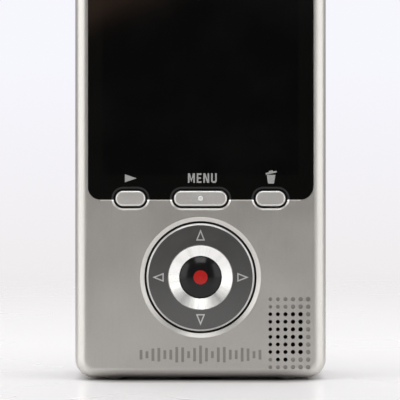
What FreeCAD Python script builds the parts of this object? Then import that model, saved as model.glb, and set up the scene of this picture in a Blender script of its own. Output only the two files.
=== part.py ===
"""A hand-held field recorder with a colour display, a stereo microphone head and a lens on the back.

The recorder stands upright on its feet: +X is its right-hand side seen from the front, +Y points out
of the back and +Z is up. The origin is on the table, under the middle of the recorder. The front face
looks along -Y. All sizes are in millimetres.
"""
import FreeCAD, Part
import math
import os
import re
import sys
from FreeCAD import Rotation, Vector

import Sketcher

# Driving dimensions. Positions along Y and Z are measured from the origin of the recorder.
SIZES = {
    # case
    "body_width": 50.0, "body_bottom": 0.5, "body_top": 98.0, "front_face": -15.0, "rear_face": 14.0,
    "side_wall": 1.6, "front_wall": 2.0, "rear_wall": 2.2, "outline_radius": 3.6,
    "front_side_radius": 2.7, "front_end_radius": 2.0, "rear_side_radius": 4.5,
    "rear_end_radius": 2.0, "parting_gap": 0.25, "parting_depth": 0.25,
    # display
    "window_width": 44.6, "window_bottom": 35.9, "window_top": 94.8, "window_radius": 2.4,
    "window_thick": 1.3, "seat_gap": 0.05, "seat_bevel": 0.2, "panel_width": 39.2,
    "panel_bottom": 40.6, "panel_top": 93.6, "panel_thick": 1.35, "panel_frame_wall": 0.7,
    "panel_frame_back": -9.5, "panel_lip": 0.6, "panel_end_lip": 0.9,
    # keys
    "key_level": 36.1, "key_spacing": 13.9, "key_height": 3.1, "small_key_width": 6.0,
    "menu_key_width": 10.6, "key_gap": 0.4, "key_bevel_depth": 0.17, "key_bevel_slope": 65.0,
    "key_proud": 0.3, "key_edge": 0.45, "key_flange": 0.55, "key_flange_thick": 0.6,
    "pip_radius": 0.5, "pip_proud": 0.1,
    # direction pad and record button
    "pad_level": 20.46, "pad_radius": 10.73, "pad_face_radius": 10.35, "pad_hole_radius": 11.15,
    "dish_radius": 12.0, "dish_depth": 0.36, "pad_rim_proud": 0.12, "pad_rim_bevel": 0.4,
    "pad_back": -13.1, "ring_radius": 6.47, "ring_proud": 0.45, "ring_step": 0.1,
    "ring_inner_radius": 4.25, "ring_inner_depth": 0.3, "ring_seat": 1.1,
    "record_radius": 4.05, "record_proud": 0.5, "record_edge_depth": 0.45, "dot_radius": 1.4,
    "record_stem_radius": 2.0, "record_flange": 0.55,
    "lug_level": 7.95, "lug_height": 1.1, "lug_half_width": 0.9, "lug_back": -11.55,
    "gimbal_level": -12.1, "gimbal_inner": 5.2, "gimbal_outer": 7.0, "gimbal_thick": 0.6,
    "gimbal_pin_radius": 0.3, "gimbal_reach": 8.6, "gimbal_bore_gap": 0.06,
    "carrier_inner": 9.1, "carrier_thick": 0.7, "carrier_arm_start": 7.5, "carrier_arm_end": 9.4,
    # keypad behind the face
    "membrane_front": -11.0, "membrane_thick": 0.6, "key_board_thick": 1.0, "keypad_bottom": 8.2,
    "keypad_step": 33.0, "keypad_top": 39.6, "keypad_low_half_width": 11.7,
    "keypad_high_half_width": 18.0, "membrane_skin": 0.25, "hollow_radius": 2.1,
    "dome_radius": 1.9, "dome_thick": 0.28,
    # speaker
    "hole_pitch": 1.5, "hole_first_x": 13.86, "hole_top_z": 16.13, "hole_small": 0.74,
    "hole_large": 0.9, "dimple_depth": 0.35, "speaker_x": 17.5, "speaker_z": 9.85,
    "speaker_width": 11.0, "speaker_height": 14.8, "speaker_depth": 3.6, "cloth_thick": 0.25,
    "speaker_well": 1.6, "cone_front": 0.9,
    # level-bar ornament pressed into the face
    "bar_width": 0.55, "bar_pitch": 1.18, "bar_level": 5.1, "bar_tall": 3.6, "bar_depth": 0.22,
    # boards
    "board_front": -8.4, "board_thick": 1.5, "board_half_width": 22.3, "board_bottom": 4.0,
    "board_top": 95.0, "sensor_half_width": 7.5, "sensor_front": 3.0, "sensor_back": 4.2,
    # batteries and their cover
    "cell_radius": 7.2, "cell_length": 50.5, "cell_spacing": 7.45, "cell_depth": 5.2,
    "cell_nub": 1.3, "cell_nub_radius": 2.7, "cell_shoulder": 0.4,
    "bay_bottom": 6.2, "bay_top": 59.4, "bay_half_width": 14.95, "bay_front": -2.6, "bay_wall": 0.75,
    "bay_rear": 10.9, "spring_radius": 3.2, "spring_wire": 0.4, "spring_pitch": 0.62,
    "contact_reach": 5.0, "cover_half_width": 16.6, "cover_bottom": 5.9, "cover_top": 62.0,
    "cover_thick": 1.2, "cover_gap": 0.2, "cover_corner": 2.0, "cover_pin_y": 12.6,
    "cover_pin_z": 4.4, "cover_pin_radius": 0.6, "cover_pin_tail": 2.2, "cover_barrel_radius": 1.3,
    "cover_slot_bottom": 2.7, "rib_half_width": 6.0, "rib_pitch": 1.2, "rib_width": 0.5,
    # doors in the sides
    "door_pin_x": 24.1, "door_pin_y": -2.4, "door_pin_radius": 0.4, "door_pin_tail": 1.4,
    "door_barrel_radius": 0.8, "door_front": -9.4, "door_inner": 23.8, "door_gap": 0.2,
    "card_door_low": 24.6, "card_door_high": 51.4, "port_cover_low": 31.5, "port_cover_high": 50.5,
    "grip_depth": 0.4, "grip_half_height": 3.0,
    # card
    "card_low": 26.0, "card_width": 24.0, "card_length": 32.0, "card_thick": 2.1, "card_front": -6.2,
    "card_outer_end": 23.2, "card_notch": 3.0, "card_gap": 0.1, "card_edge_gap": 0.12,
    # sockets
    "jack_bore": 1.8, "jack_radius": 3.0, "jack_depth": 13.5, "jack_y": -3.8, "jack_level": 69.0,
    "usb_low": 33.0, "usb_height": 7.7, "usb_wall": 0.35, "av_low": 43.0, "av_height": 6.0,
    "av_wall": 0.9, "port_depth": 8.0, "port_thick": 3.4, "port_inset": 0.6, "tongue_thick": 0.6,
    # side controls
    "control_y": -5.3, "control_proud": 0.6, "power_level": 83.0, "power_travel": 3.0,
    "power_knob": 2.5, "gain_level": 58.0, "gain_travel": 2.0, "gain_knob": 2.0, "gain_sunk": 0.1,
    "track_depth": 0.8, "track_half_width": 1.9, "knob_half_width": 1.7, "knob_seat": 0.7,
    "stem_half_width": 0.6, "stem_gap": 0.15, "switch_base_height": 3.2,
    "rocker_level": 84.0, "rocker_length": 12.0, "rocker_pivot_x": 23.5, "rocker_half_width": 1.8,
    "rocker_gap": 0.25, "rocker_barrel": 0.8, "rocker_bore": 0.4, "rocker_pin_radius": 0.35,
    "rocker_pin_reach": 2.6, "rocker_dip_radius": 3.0, "rocker_dip_depth": 0.2,
    # lens
    "lens_level": 80.0, "bezel_radius": 9.0, "bezel_proud": 1.5, "bezel_lip": 1.0,
    "barrel_radius": 6.0, "barrel_gap": 0.4, "glass_radius": 4.3, "glass_seat": 1.6,
    # microphone head
    "head_top": 134.0, "head_half_width": 22.5, "head_corner": 16.0, "band_half_depth": 3.4,
    "band_wall": 2.2, "band_edge": 0.7, "base_top": 100.5, "base_corner": 6.0, "grille_depth": 11.0,
    "grille_round": 6.5, "grille_wall": 0.7, "grille_gap": 0.1, "capsule_radius": 4.9,
    "capsule_length": 9.0, "capsule_wall": 0.8, "capsule_x": 7.5, "capsule_y": 0.5,
    "capsule_level": 114.5, "holder_wall": 1.1, "holder_half_width": 12.0, "holder_thick": 1.2,
    # screws, feet and tripod bush
    "screw_x": 18.9, "low_screw_z": 20.0, "high_screw_z": 93.6, "screw_head_radius": 1.6,
    "screw_head": 1.1, "screw_radius": 0.9, "screw_length": 16.0, "post_radius": 2.3,
    "screw_slot": 0.4, "screw_slot_length": 1.8, "screw_slot_depth": 0.75,
    "foot_x": 17.3, "foot_ball": 4.0, "foot_flat": 0.15, "foot_front": -10.6, "foot_rear": 9.5,
    "bush_y": 4.8, "bush_radius": 4.5, "bush_bottom": 0.12, "bush_length": 4.8, "bush_bore": 2.6,
    "bush_floor": 0.6,
}

doc = FreeCAD.newDocument("field_recorder")
sheet = doc.addObject("Spreadsheet::Sheet", "Sizes")
for row, (alias, number) in enumerate(SIZES.items(), start=1):
    sheet.set(f"A{row}", alias)
    sheet.set(f"B{row}", str(number))
    sheet.setAlias(f"B{row}", alias)
doc.recompute()

AXIS_TURN = {
    "X": Rotation(Vector(0, 1, 0), 90),
    "Y": Rotation(Vector(1, 0, 0), -90),
    "Z": Rotation(),
}
FACING_FRONT = Rotation(Vector(1, 0, 0), 90)
sub_parts = []


# ---------------------------------------------------------------- sizes and bindings

def formula(text):
    """The text with every size name pointed at its cell in the sheet."""
    return re.sub(r"[a-z_]+", lambda found: f"Sizes.{found[0]}" if found[0] in SIZES else found[0],
                  str(text))


def value(text):
    """The number that a formula gives."""
    return float(sheet.evalExpression(formula(text)))


def bind(item, **formulas):
    """Bind properties of a document object to formulas of the sheet's sizes."""
    for name, text in formulas.items():
        item.setExpression(name, formula(text))


def place(item, x, y, z, turn=None):
    """Put an object at a bound position, turned if needed."""
    if turn is not None:
        item.Placement.Rotation = turn
    for axis, text in zip("xyz", (x, y, z)):
        item.setExpression(f"Placement.Base.{axis}", formula(text))


def keep(item, label):
    """Name an object as one sub-part of the recorder."""
    item.Label = label
    sub_parts.append(item)
    return item


# ---------------------------------------------------------------- plain shapes

def side_span(side, inner, outer):
    """A range along X on the left or right side from two distances to the middle plane."""
    return (f"-({outer})", f"-({inner})") if side < 0 else (inner, outer)


def block(name, x, y, z):
    """A box that spans two formulas along each axis."""
    item = doc.addObject("Part::Box", name)
    bind(item, Length=f"({x[1]}) - ({x[0]})", Width=f"({y[1]}) - ({y[0]})",
         Height=f"({z[1]}) - ({z[0]})")
    place(item, x[0], y[0], z[0])
    return item


def rod(name, axis, start, radius, length):
    """A cylinder that runs from its start along +X, +Y or +Z."""
    item = doc.addObject("Part::Cylinder", name)
    bind(item, Radius=radius, Height=length)
    place(item, *start, turn=AXIS_TURN[axis])
    return item


def fuse(name, pieces):
    """Several shapes made into one."""
    item = doc.addObject("Part::MultiFuse", name)
    item.Shapes = pieces
    item.Refine = True
    return item


def group(name, pieces):
    """Shapes that stay apart but belong to one node."""
    item = doc.addObject("Part::Compound", name)
    item.Links = pieces
    return item


def cut(name, base, tools):
    """A shape with other shapes taken away."""
    item = doc.addObject("Part::Cut", name)
    item.Base = base
    item.Tool = tools[0] if len(tools) == 1 else fuse(name + "_tools", tools)
    return item


def rounded(name, base, rules, kind="Part::Fillet"):
    """Fillet or bevel the edges of a shape. Each rule is a test of one edge and the size it gets."""
    doc.recompute()
    item = doc.addObject(kind, name)
    item.Base = base
    item.Edges = [(number, value(radius), value(radius)) for test, radius in rules
                  for number in matching_edges(base.Shape, test)]
    return item


def matching_edges(shape, test):
    """The numbers of the edges whose run, from end to end, and middle pass a test."""
    numbers = []
    for number, edge in enumerate(shape.Edges, start=1):
        start, end = edge.valueAt(edge.FirstParameter), edge.valueAt(edge.LastParameter)
        if test(end - start, (start + end) * 0.5):
            numbers.append(number)
    return numbers


def along_y(run, middle):
    """Whether an edge runs straight from front to back."""
    return abs(run.y) > 0.1 and abs(run.x) + abs(run.z) < 0.001


def along_crown(run, middle, reach):
    """The level top edge of an arch at one distance from its middle plane.

    A fillet that starts on it runs on over the whole arch, because the arch has no corners.
    """
    level = abs(run.x) > 0.1 and abs(run.y) + abs(run.z) < 0.001
    return level and abs(abs(middle.y) - reach) < 0.01 and middle.z > value("head_top") - 5


# ---------------------------------------------------------------- sketched shapes

def outline(sketch, points):
    """A closed outline of straight lines whose corners are bound to formulas."""
    corners = [Vector(value(x), value(y), 0) for x, y in points]
    first = len(sketch.Geometry)
    count = len(corners)
    for index in range(count):
        sketch.addGeometry(Part.LineSegment(corners[index], corners[(index + 1) % count]), False)
    for index in range(count):
        sketch.addConstraint(Sketcher.Constraint(
            "Coincident", first + index, 2, first + (index + 1) % count, 1))
        hold(sketch, first + index, 1, points[index])


def hold(sketch, geometry, vertex, point):
    """Hold one sketch point at two bound distances from the sketch's origin."""
    for kind, text in zip(("DistanceX", "DistanceY"), point):
        constraint = sketch.addConstraint(
            Sketcher.Constraint(kind, -1, 1, geometry, vertex, value(text)))
        name = f"{kind}_{geometry}_{vertex}"
        sketch.renameConstraint(constraint, name)
        sketch.setExpression(f"Constraints.{name}", formula(text))


def stadium(sketch, x, y, width, height):
    """A slot with full-round ends, wider than it is high."""
    half = f"(({width}) - ({height})) / 2"
    radius = f"({height}) / 2"
    reach, bend = value(half), value(radius)
    centre_x, centre_y = value(x), value(y)
    right = Vector(centre_x + reach, centre_y, 0)
    left = Vector(centre_x - reach, centre_y, 0)
    up = Vector(0, bend, 0)
    quarter = math.pi / 2
    face = Vector(0, 0, 1)
    sketch.addGeometry([
        Part.ArcOfCircle(Part.Circle(right, face, bend), -quarter, quarter),
        Part.LineSegment(right + up, left + up),
        Part.ArcOfCircle(Part.Circle(left, face, bend), quarter, 3 * quarter),
        Part.LineSegment(left - up, right - up)], False)
    hold(sketch, 0, 3, (f"({x}) + {half}", y))
    hold(sketch, 2, 3, (f"({x}) - {half}", y))
    for first, end, second, start in ((0, 2, 1, 1), (1, 2, 2, 1), (2, 2, 3, 1), (3, 2, 0, 1)):
        sketch.addConstraint(Sketcher.Constraint("Tangent", first, end, second, start))
    bound = sketch.addConstraint(Sketcher.Constraint("Radius", 0, bend))
    sketch.renameConstraint(bound, "bend")
    sketch.setExpression("Constraints.bend", formula(radius))


def prism(name, draw, y, length, taper=0):
    """A shape drawn looking at the front face, at depth y, and drawn out towards the front."""
    sketch = doc.addObject("Sketcher::SketchObject", name + "_outline")
    place(sketch, "0", y, "0", turn=FACING_FRONT)
    draw(sketch)
    item = doc.addObject("Part::Extrusion", name)
    item.Base = sketch
    item.DirMode = "Normal"
    item.Solid = True
    item.TaperAngle = taper
    bind(item, LengthFwd=length)
    return item


def new_body(name, x="0", y="0", z="0", turn=None):
    """An empty PartDesign body at its bound place."""
    body = doc.addObject("PartDesign::Body", name)
    place(body, x, y, z, turn)
    return body


def sketch_in(body, name, role, level="0"):
    """A sketch on one of the body's own origin planes, moved along the plane's normal."""
    sketch = body.newObject("Sketcher::SketchObject", name)
    plane = next(item for item in body.Origin.OriginFeatures if item.Role == role)
    sketch.AttachmentSupport = [(plane, "")]
    sketch.MapMode = "FlatFace"
    sketch.setExpression("AttachmentOffset.Base.z", formula(level))
    return sketch


def pad(body, name, draw, level, length):
    """Draw an outline out towards the front. The level is its start, counted towards the front."""
    sketch = sketch_in(body, name + "_outline", "XZ_Plane", level)
    draw(sketch)
    feature = body.newObject("PartDesign::Pad", name)
    feature.Profile = sketch
    bind(feature, Length=length)
    doc.recompute()
    return feature


def turned(name, points, x="0", y="0", z="0", axis="Y"):
    """A body turned about Y or Z from (radius, height along the axis) points."""
    body = new_body(name, x, y, z)
    role = "XY_Plane" if axis == "Y" else "XZ_Plane"
    sketch = sketch_in(body, name + "_outline", role)
    outline(sketch, points)
    feature = body.newObject("PartDesign::Revolution", name + "_turned")
    feature.Profile = sketch
    feature.ReferenceAxis = (sketch, ["V_Axis"])
    feature.Angle = 360
    doc.recompute()
    return body


def fillet(body, base, name, test, radius):
    """Round those edges of a body's feature that pass a test."""
    feature = body.newObject("PartDesign::Fillet", name)
    feature.Base = (base, [f"Edge{number}" for number in matching_edges(base.Shape, test)])
    bind(feature, Radius=radius)
    doc.recompute()
    return feature


# ---------------------------------------------------------------- case

def key_slots(name, grow, y, length, taper=0):
    """Cutters for the three key holes, larger than the keys by a gap on every side."""
    slots = []
    for index, width in ((-1, "small_key_width"), (0, "menu_key_width"), (1, "small_key_width")):
        def draw(sketch, index=index, width=width):
            stadium(sketch, f"{index} * key_spacing", "key_level", f"{width} + 2 * ({grow})",
                    f"key_height + 2 * ({grow})")
        slots.append(prism(f"{name}_{index + 2}", draw, y, length, taper))
    return slots


def speaker_cutters():
    """A grid of six by ten holes that grow to the right. The middle ones go through the wall."""
    cutters = []
    for column in range(6):
        share = min(column, 4) / 4
        for line in range(10):
            through = (2 <= line <= 7 and column <= 4) or (line == 8 and column in (1, 2))
            depth = "front_wall + 0.2" if through else "dimple_depth"
            cutters.append(rod(
                f"speaker_hole_{column}_{line}", "Y",
                (f"hole_first_x + {column} * hole_pitch", "front_face - 0.1",
                 f"hole_top_z - {line} * hole_pitch"),
                f"(hole_small + {share} * (hole_large - hole_small)) / 2", f"0.1 + {depth}"))
    return cutters


def ornament_cutters():
    """A row of level bars, tallest near the middle, pressed into the face under the pad."""
    cutters = []
    reach = 10
    for step in range(-reach, reach + 1):
        share = round(0.3 + 0.7 * abs(math.cos(0.85 * step)) * (1 - abs(step) / (2.2 * reach)), 3)
        cutters.append(block(
            f"bar_{step + reach}",
            (f"{step} * bar_pitch - bar_width / 2", f"{step} * bar_pitch + bar_width / 2"),
            ("front_face - 1", "front_face + bar_depth"),
            (f"bar_level - {share} * bar_tall / 2", f"bar_level + {share} * bar_tall / 2")))
    return cutters


def case_block(name, y_range, side_test, side_radius, end_radius):
    """One half of the case as a solid block with its corners and outer edges rounded."""
    base = block(name + "_block", ("-body_width / 2", "body_width / 2"), y_range,
                 ("body_bottom", "body_top"))
    return rounded(name + "_rounded", base, (
        (along_y, "outline_radius"),
        (lambda run, middle: side_test(middle) and abs(run.z) > 0.1, side_radius),
        (lambda run, middle: side_test(middle) and abs(run.x) > 0.1, end_radius)))


def cavity(name, y_range):
    """The hollow inside the case, with its own rounded corners."""
    base = block(name + "_hollow", ("side_wall - body_width / 2", "body_width / 2 - side_wall"),
                 y_range, ("body_bottom + side_wall", "body_top - side_wall"))
    return rounded(name + "_hollow_rounded", base, ((along_y, "outline_radius - side_wall"),))


def screw_places():
    """Side and level of the four case screws."""
    return [(side, level) for level in ("low_screw_z", "high_screw_z") for side in (-1, 1)]


def door_cutters(side, low, high, name):
    """The opening for a side door and the bore of its pin."""
    opening = block(name + "_opening", side_span(side, "door_inner - 1", "body_width / 2 + 1"),
                    ("door_front - door_gap", "door_pin_y + 1"),
                    (f"{low} - door_gap", f"{high} + door_gap"))
    bore = rod(name + "_bore", "Z", (f"{side} * door_pin_x", "door_pin_y", f"{low} - door_pin_tail"),
               "door_pin_radius + 0.02", f"{high} - {low} + 2 * door_pin_tail")
    return [opening, bore]


def front_shell():
    """The front half of the case, with the window seat, key holes, pad dish and side openings."""
    solid = case_block("front", ("front_face", "0"),
                       lambda middle: middle.y < value("front_face") + 0.1,
                       "front_side_radius", "front_end_radius")
    hollow = cavity("front", ("front_face + front_wall", "1"))
    hull = cut("front_hull", solid, [hollow])
    posts = []
    bores = []
    for side, level in screw_places():
        name = f"front_post_{side + 1}_{level}"
        if level == "low_screw_z":
            posts.append(rod(name, "Y", (f"{side} * screw_x", "front_face + front_wall - 0.2", level),
                             "post_radius", "0.2 - front_face - front_wall"))
        else:
            outer = "body_width / 2 - side_wall + 0.2"
            posts.append(block(name, side_span(side, "screw_x - post_radius", outer), ("-6", "0"),
                               (f"{level} - post_radius", "body_top - side_wall + 0.2")))
        bores.append(rod(name + "_bore", "Y", (f"{side} * screw_x", "-3.2", level),
                         "screw_radius", "4"))
    shell = fuse("front_with_posts", [hull] + posts)
    window_seat = prism(
        "window_seat", lambda sketch: outline(sketch, window_corners("seat_gap")),
        "front_face + window_thick", "3")
    window_rim = prism(
        "window_rim", lambda sketch: outline(sketch, window_corners("seat_gap + seat_bevel")),
        "front_face + seat_bevel", "3")
    view = block("display_opening", ("panel_lip - panel_width / 2", "panel_width / 2 - panel_lip"),
                 ("front_face - 1", "front_face + front_wall + 1"),
                 ("panel_bottom + panel_end_lip", "panel_top - panel_end_lip"))
    seat_rounded = rounded("window_seat_rounded", window_seat,
                           ((along_y, "window_radius + seat_gap"),))
    rim_rounded = rounded("window_rim_rounded", window_rim,
                          ((along_y, "window_radius + seat_gap + seat_bevel"),))
    rim_bevelled = rounded(
        "window_rim_bevelled", rim_rounded,
        ((lambda run, middle: abs(middle.y - value("front_face + seat_bevel")) < 0.001,
          "seat_bevel - 0.001"),), "Part::Chamfer")
    pad_hole = rod("pad_hole", "Y", ("0", "front_face - 1", "pad_level"), "pad_hole_radius", "5")
    dish = doc.addObject("Part::Cone", "pad_dish")
    bind(dish, Radius1="dish_radius", Radius2="pad_hole_radius", Height="dish_depth")
    place(dish, "0", "front_face", "pad_level", turn=AXIS_TURN["Y"])
    tools = [seat_rounded, rim_bevelled, view, pad_hole, dish]
    tools += key_slots("key_hole", "key_gap", "front_face + front_wall + 0.5", "5")
    tools += key_slots("key_hole_bevel", "key_gap", "front_face + key_bevel_depth",
                       "key_bevel_depth + 0.01", value("key_bevel_slope"))
    tools += speaker_cutters() + ornament_cutters() + bores
    tools += door_cutters(1, "card_door_low", "card_door_high", "card_door")
    tools += door_cutters(-1, "port_cover_low", "port_cover_high", "port_cover")
    for side, name in ((1, "headphone"), (-1, "line_in")):
        tools.append(rod(name + "_hole", "X",
                         ("body_width / 2 - 4" if side > 0 else "-body_width / 2 - 1", "jack_y",
                          "jack_level"), "jack_radius + 0.02", "5"))
    tools += switch_cutters(1, "power_level", "power")
    tools += switch_cutters(-1, "gain_level", "gain")
    tools.append(block("rocker_hole", ("-body_width / 2 - 1", "-body_width / 2 + 4"),
                       ("control_y - rocker_half_width - 0.2", "control_y + rocker_half_width + 0.2"),
                       ("rocker_level - rocker_length / 2 - rocker_gap",
                        "rocker_level + rocker_length / 2 + rocker_gap")))
    tools.append(rocker_rod("rocker_pin_seat"))
    keep(cut("front_shell", shell, tools), "front_shell")


def parting_line():
    """A cutter for the narrow groove round the case where its two halves meet."""
    outer = block("parting_outer", ("-body_width / 2 - 1", "body_width / 2 + 1"),
                  ("-1", "parting_gap"), ("body_bottom - 1", "body_top + 1"))
    core = block("parting_core_block",
                 ("parting_depth - body_width / 2", "body_width / 2 - parting_depth"),
                 ("-2", "1"), ("body_bottom + parting_depth", "body_top - parting_depth"))
    core = rounded("parting_core", core, ((along_y, "outline_radius - parting_depth"),))
    return cut("parting_line", outer, [core])


def rear_shell():
    """The rear half of the case, with the battery opening, lens hole and screw recesses."""
    solid = case_block("rear", ("0", "rear_face"),
                       lambda middle: middle.y > value("rear_face") - 0.1,
                       "rear_side_radius", "rear_end_radius")
    hollow = cavity("rear", ("-1", "rear_face - rear_wall"))
    hull = cut("rear_hull", solid, [hollow])
    posts = []
    bores = []
    for side, level in screw_places():
        name = f"rear_post_{side + 1}_{level}"
        posts.append(rod(name, "Y", (f"{side} * screw_x", "0", level), "post_radius",
                         "rear_face - rear_wall + 0.2"))
        bores.append(rod(name + "_bore", "Y", (f"{side} * screw_x", "-1", level),
                         "screw_radius + 0.15", "rear_face + 2"))
        bores.append(rod(name + "_seat", "Y",
                         (f"{side} * screw_x", "rear_face - screw_head", level),
                         "screw_head_radius + 0.1", "2"))
    shell = fuse("rear_with_posts", [hull] + posts)
    cover_seat = block(
        "cover_seat", ("-cover_half_width - cover_gap", "cover_half_width + cover_gap"),
        ("rear_face - cover_thick - 0.1", "rear_face + 1"),
        ("cover_slot_bottom", "cover_top + cover_gap"))
    barrel_slot = block(
        "barrel_slot", ("-cover_half_width - cover_gap", "cover_half_width + cover_gap"),
        ("11", "rear_face + 1"), ("cover_slot_bottom", "cover_bottom + cover_gap"))
    bay_opening = block("bay_opening", ("-bay_half_width", "bay_half_width"),
                        ("rear_face - rear_wall - 1", "rear_face + 1"), ("bay_bottom", "bay_top"))
    pin_bore = cover_rod("cover_pin_bore", "cover_pin_radius + 0.02", "cover_pin_tail")
    lens_hole = rod("lens_hole", "Y", ("0", "rear_face - rear_wall - 1", "lens_level"),
                    "bezel_radius - bezel_lip", "5")
    bush_hole = rod("bush_hole", "Z", ("0", "bush_y", "body_bottom - 1"), "bush_radius", "4")
    finger_notch = rod("finger_notch", "Y", ("0", "rear_face - 0.6", "cover_top + 1"), "4", "2")
    tools = bores + [cover_seat, barrel_slot, bay_opening, pin_bore, lens_hole, bush_hole,
                     finger_notch, parting_line()]
    keep(cut("rear_shell", shell, tools), "rear_shell")


def case_fasteners():
    """The four case screws, the four feet and the tripod bush."""
    screws = []
    for side, level in screw_places():
        name = f"screw_{side + 1}_{level}"
        head = rod(name + "_head", "Y", (f"{side} * screw_x", "rear_face - screw_head", level),
                   "screw_head_radius", "screw_head - 0.1")
        shank = rod(name + "_shank", "Y",
                    (f"{side} * screw_x", "rear_face - screw_head - screw_length", level),
                    "screw_radius", "screw_length")
        slots = []
        for run, wide, tall in (("across", "screw_slot_length", "screw_slot"),
                                ("up", "screw_slot", "screw_slot_length")):
            slots.append(block(
                f"{name}_slot_{run}", (f"{side} * screw_x - {wide} / 2", f"{side} * screw_x + {wide} / 2"),
                ("rear_face - screw_slot_depth", "rear_face + 1"),
                (f"{level} - {tall} / 2", f"{level} + {tall} / 2")))
        screws.append(cut(name, fuse(name + "_solid", [head, shank]), slots))
    keep(group("case_screws", screws), "case_screws")
    feet = []
    for side in (-1, 1):
        for row in ("foot_front", "foot_rear"):
            ball = doc.addObject("Part::Sphere", f"foot_ball_{side + 1}_{row}")
            bind(ball, Radius="foot_ball")
            place(ball, f"{side} * foot_x", row, "foot_ball - foot_flat")
            slice_item = block(
                f"foot_slice_{side + 1}_{row}",
                (f"{side} * foot_x - foot_ball", f"{side} * foot_x + foot_ball"),
                (f"{row} - foot_ball", f"{row} + foot_ball"), ("0", "body_bottom"))
            foot = doc.addObject("Part::Common", f"foot_{side + 1}_{row}")
            foot.Base, foot.Tool = ball, slice_item
            feet.append(foot)
    keep(group("feet", feet), "feet")
    keep(turned("tripod_bush",
                [("bush_bore", "0"), ("bush_radius - 0.5", "0"), ("bush_radius", "0.4"),
                 ("bush_radius", "bush_length"), ("0", "bush_length"),
                 ("0", "bush_length - bush_floor"), ("bush_bore", "bush_length - bush_floor")],
                y="bush_y", z="bush_bottom", axis="Z"), "tripod_bush")


# ---------------------------------------------------------------- display

def window_corners(gap):
    """The corners of the window's outline, moved outwards by a gap."""
    left, right = f"-window_width / 2 - {gap}", f"window_width / 2 + {gap}"
    low, high = f"window_bottom - {gap}", f"window_top + {gap}"
    return [(left, low), (right, low), (right, high), (left, high)]


def display():
    """The window plate, the display panel and the tray that holds it."""
    plate = prism("window_plate", lambda sketch: outline(sketch, window_corners("0")),
                  "front_face + window_thick", "window_thick")
    smooth = rounded("window_rounded", plate, ((along_y, "window_radius"),))
    notches = key_slots("window_notch", "key_gap", "front_face + window_thick + 1", "4")
    bevels = key_slots("window_bevel", "key_gap", "front_face + key_bevel_depth",
                       "key_bevel_depth + 0.01", value("key_bevel_slope"))
    keep(cut("display_window", smooth, notches + bevels), "display_window")
    keep(block("lcd_panel", ("-panel_width / 2", "panel_width / 2"),
               ("front_face + front_wall", "front_face + front_wall + panel_thick"),
               ("panel_bottom", "panel_top")), "lcd_panel")
    tray = block("lcd_frame_block",
                 ("-panel_width / 2 - panel_frame_wall", "panel_width / 2 + panel_frame_wall"),
                 ("front_face + front_wall", "panel_frame_back"),
                 ("panel_bottom - panel_frame_wall", "panel_top + panel_frame_wall"))
    seat = block("lcd_frame_seat", ("-panel_width / 2", "panel_width / 2"),
                 ("front_face", "front_face + front_wall + panel_thick"),
                 ("panel_bottom", "panel_top"))
    keep(cut("lcd_frame", tray, [seat]), "lcd_frame")


# ---------------------------------------------------------------- keys, pad and record button

def key(label, index, width, pip=False):
    """One key: a round-ended cap with a soft front edge, and a flange that keeps it in the case."""
    body = new_body(label, f"{index} * key_spacing", "front_face", "key_level")
    cap = pad(body, label + "_cap",
              lambda sketch: stadium(sketch, "0", "0", width, "key_height"),
              "-front_wall - 0.3", "front_wall + 0.3 + key_proud")
    soft = fillet(body, cap, label + "_edge",
                  lambda run, middle: middle.y < 0.01 - value("key_proud"), "key_edge")
    body.Tip = soft
    if pip:
        sketch = sketch_in(body, label + "_pip_outline", "XZ_Plane", "key_proud - pip_proud")
        circle = sketch.addGeometry(
            Part.Circle(Vector(0, 0, 0), Vector(0, 0, 1), value("pip_radius")), False)
        hold(sketch, circle, 3, ("0", "0"))
        bound = sketch.addConstraint(Sketcher.Constraint("Radius", circle, value("pip_radius")))
        sketch.renameConstraint(bound, "pip")
        sketch.setExpression("Constraints.pip", formula("pip_radius"))
        feature = body.newObject("PartDesign::Pad", label + "_pip")
        feature.Profile = sketch
        bind(feature, Length="2 * pip_proud")
        doc.recompute()
    pad(body, label + "_flange",
        lambda sketch: stadium(sketch, "0", "0", f"{width} + 2 * (key_gap + key_flange)",
                               "key_height + 2 * (key_gap + key_flange)"),
        "-front_wall - 0.1 - key_flange_thick", "key_flange_thick")
    keep(body, label)


def keys():
    """The three keys under the display."""
    key("play_button", -1, "small_key_width")
    key("menu_button", 0, "menu_key_width", pip=True)
    key("delete_button", 1, "small_key_width")


def direction_pad():
    """A ring-shaped pad whose face rises gently to the bright ring pressed into its middle.

    Two lugs on the back of the pad turn on the upright pin of the gimbal.
    """
    disc = turned("pad_disc",
                  [("pad_radius", "pad_back"),
                   ("pad_radius", "front_face - pad_rim_proud + pad_rim_bevel"),
                   ("pad_face_radius", "front_face - pad_rim_proud"),
                   ("ring_radius", "front_face - ring_proud + ring_step"),
                   ("ring_radius", "front_face + ring_seat"),
                   ("ring_inner_radius + 0.2", "front_face + ring_seat"),
                   ("ring_inner_radius + 0.2", "pad_back")],
                  z="pad_level")
    lugs = []
    bores = []
    for side in (-1, 1):
        low = f"pad_level + {side} * lug_level - lug_height / 2"
        lugs.append(block(f"pad_lug_{side + 1}", ("-lug_half_width", "lug_half_width"),
                          ("pad_back - 0.3", "lug_back"), (low, f"{low} + lug_height")))
        bores.append(rod(f"pad_lug_bore_{side + 1}", "Z", ("0", "gimbal_level", f"{low} - 1"),
                         "gimbal_pin_radius + gimbal_bore_gap", "3"))
    keep(cut("direction_pad", fuse("pad_with_lugs", [disc] + lugs), bores), "direction_pad")
    keep(turned("pad_ring",
                [("ring_radius", "front_face + ring_seat"), ("ring_radius", "front_face - ring_proud"),
                 ("ring_radius - 0.15", "front_face - ring_proud"),
                 ("ring_inner_radius", "front_face + ring_inner_depth"),
                 ("ring_inner_radius", "front_face + ring_seat")],
                z="pad_level"), "pad_ring")


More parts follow.
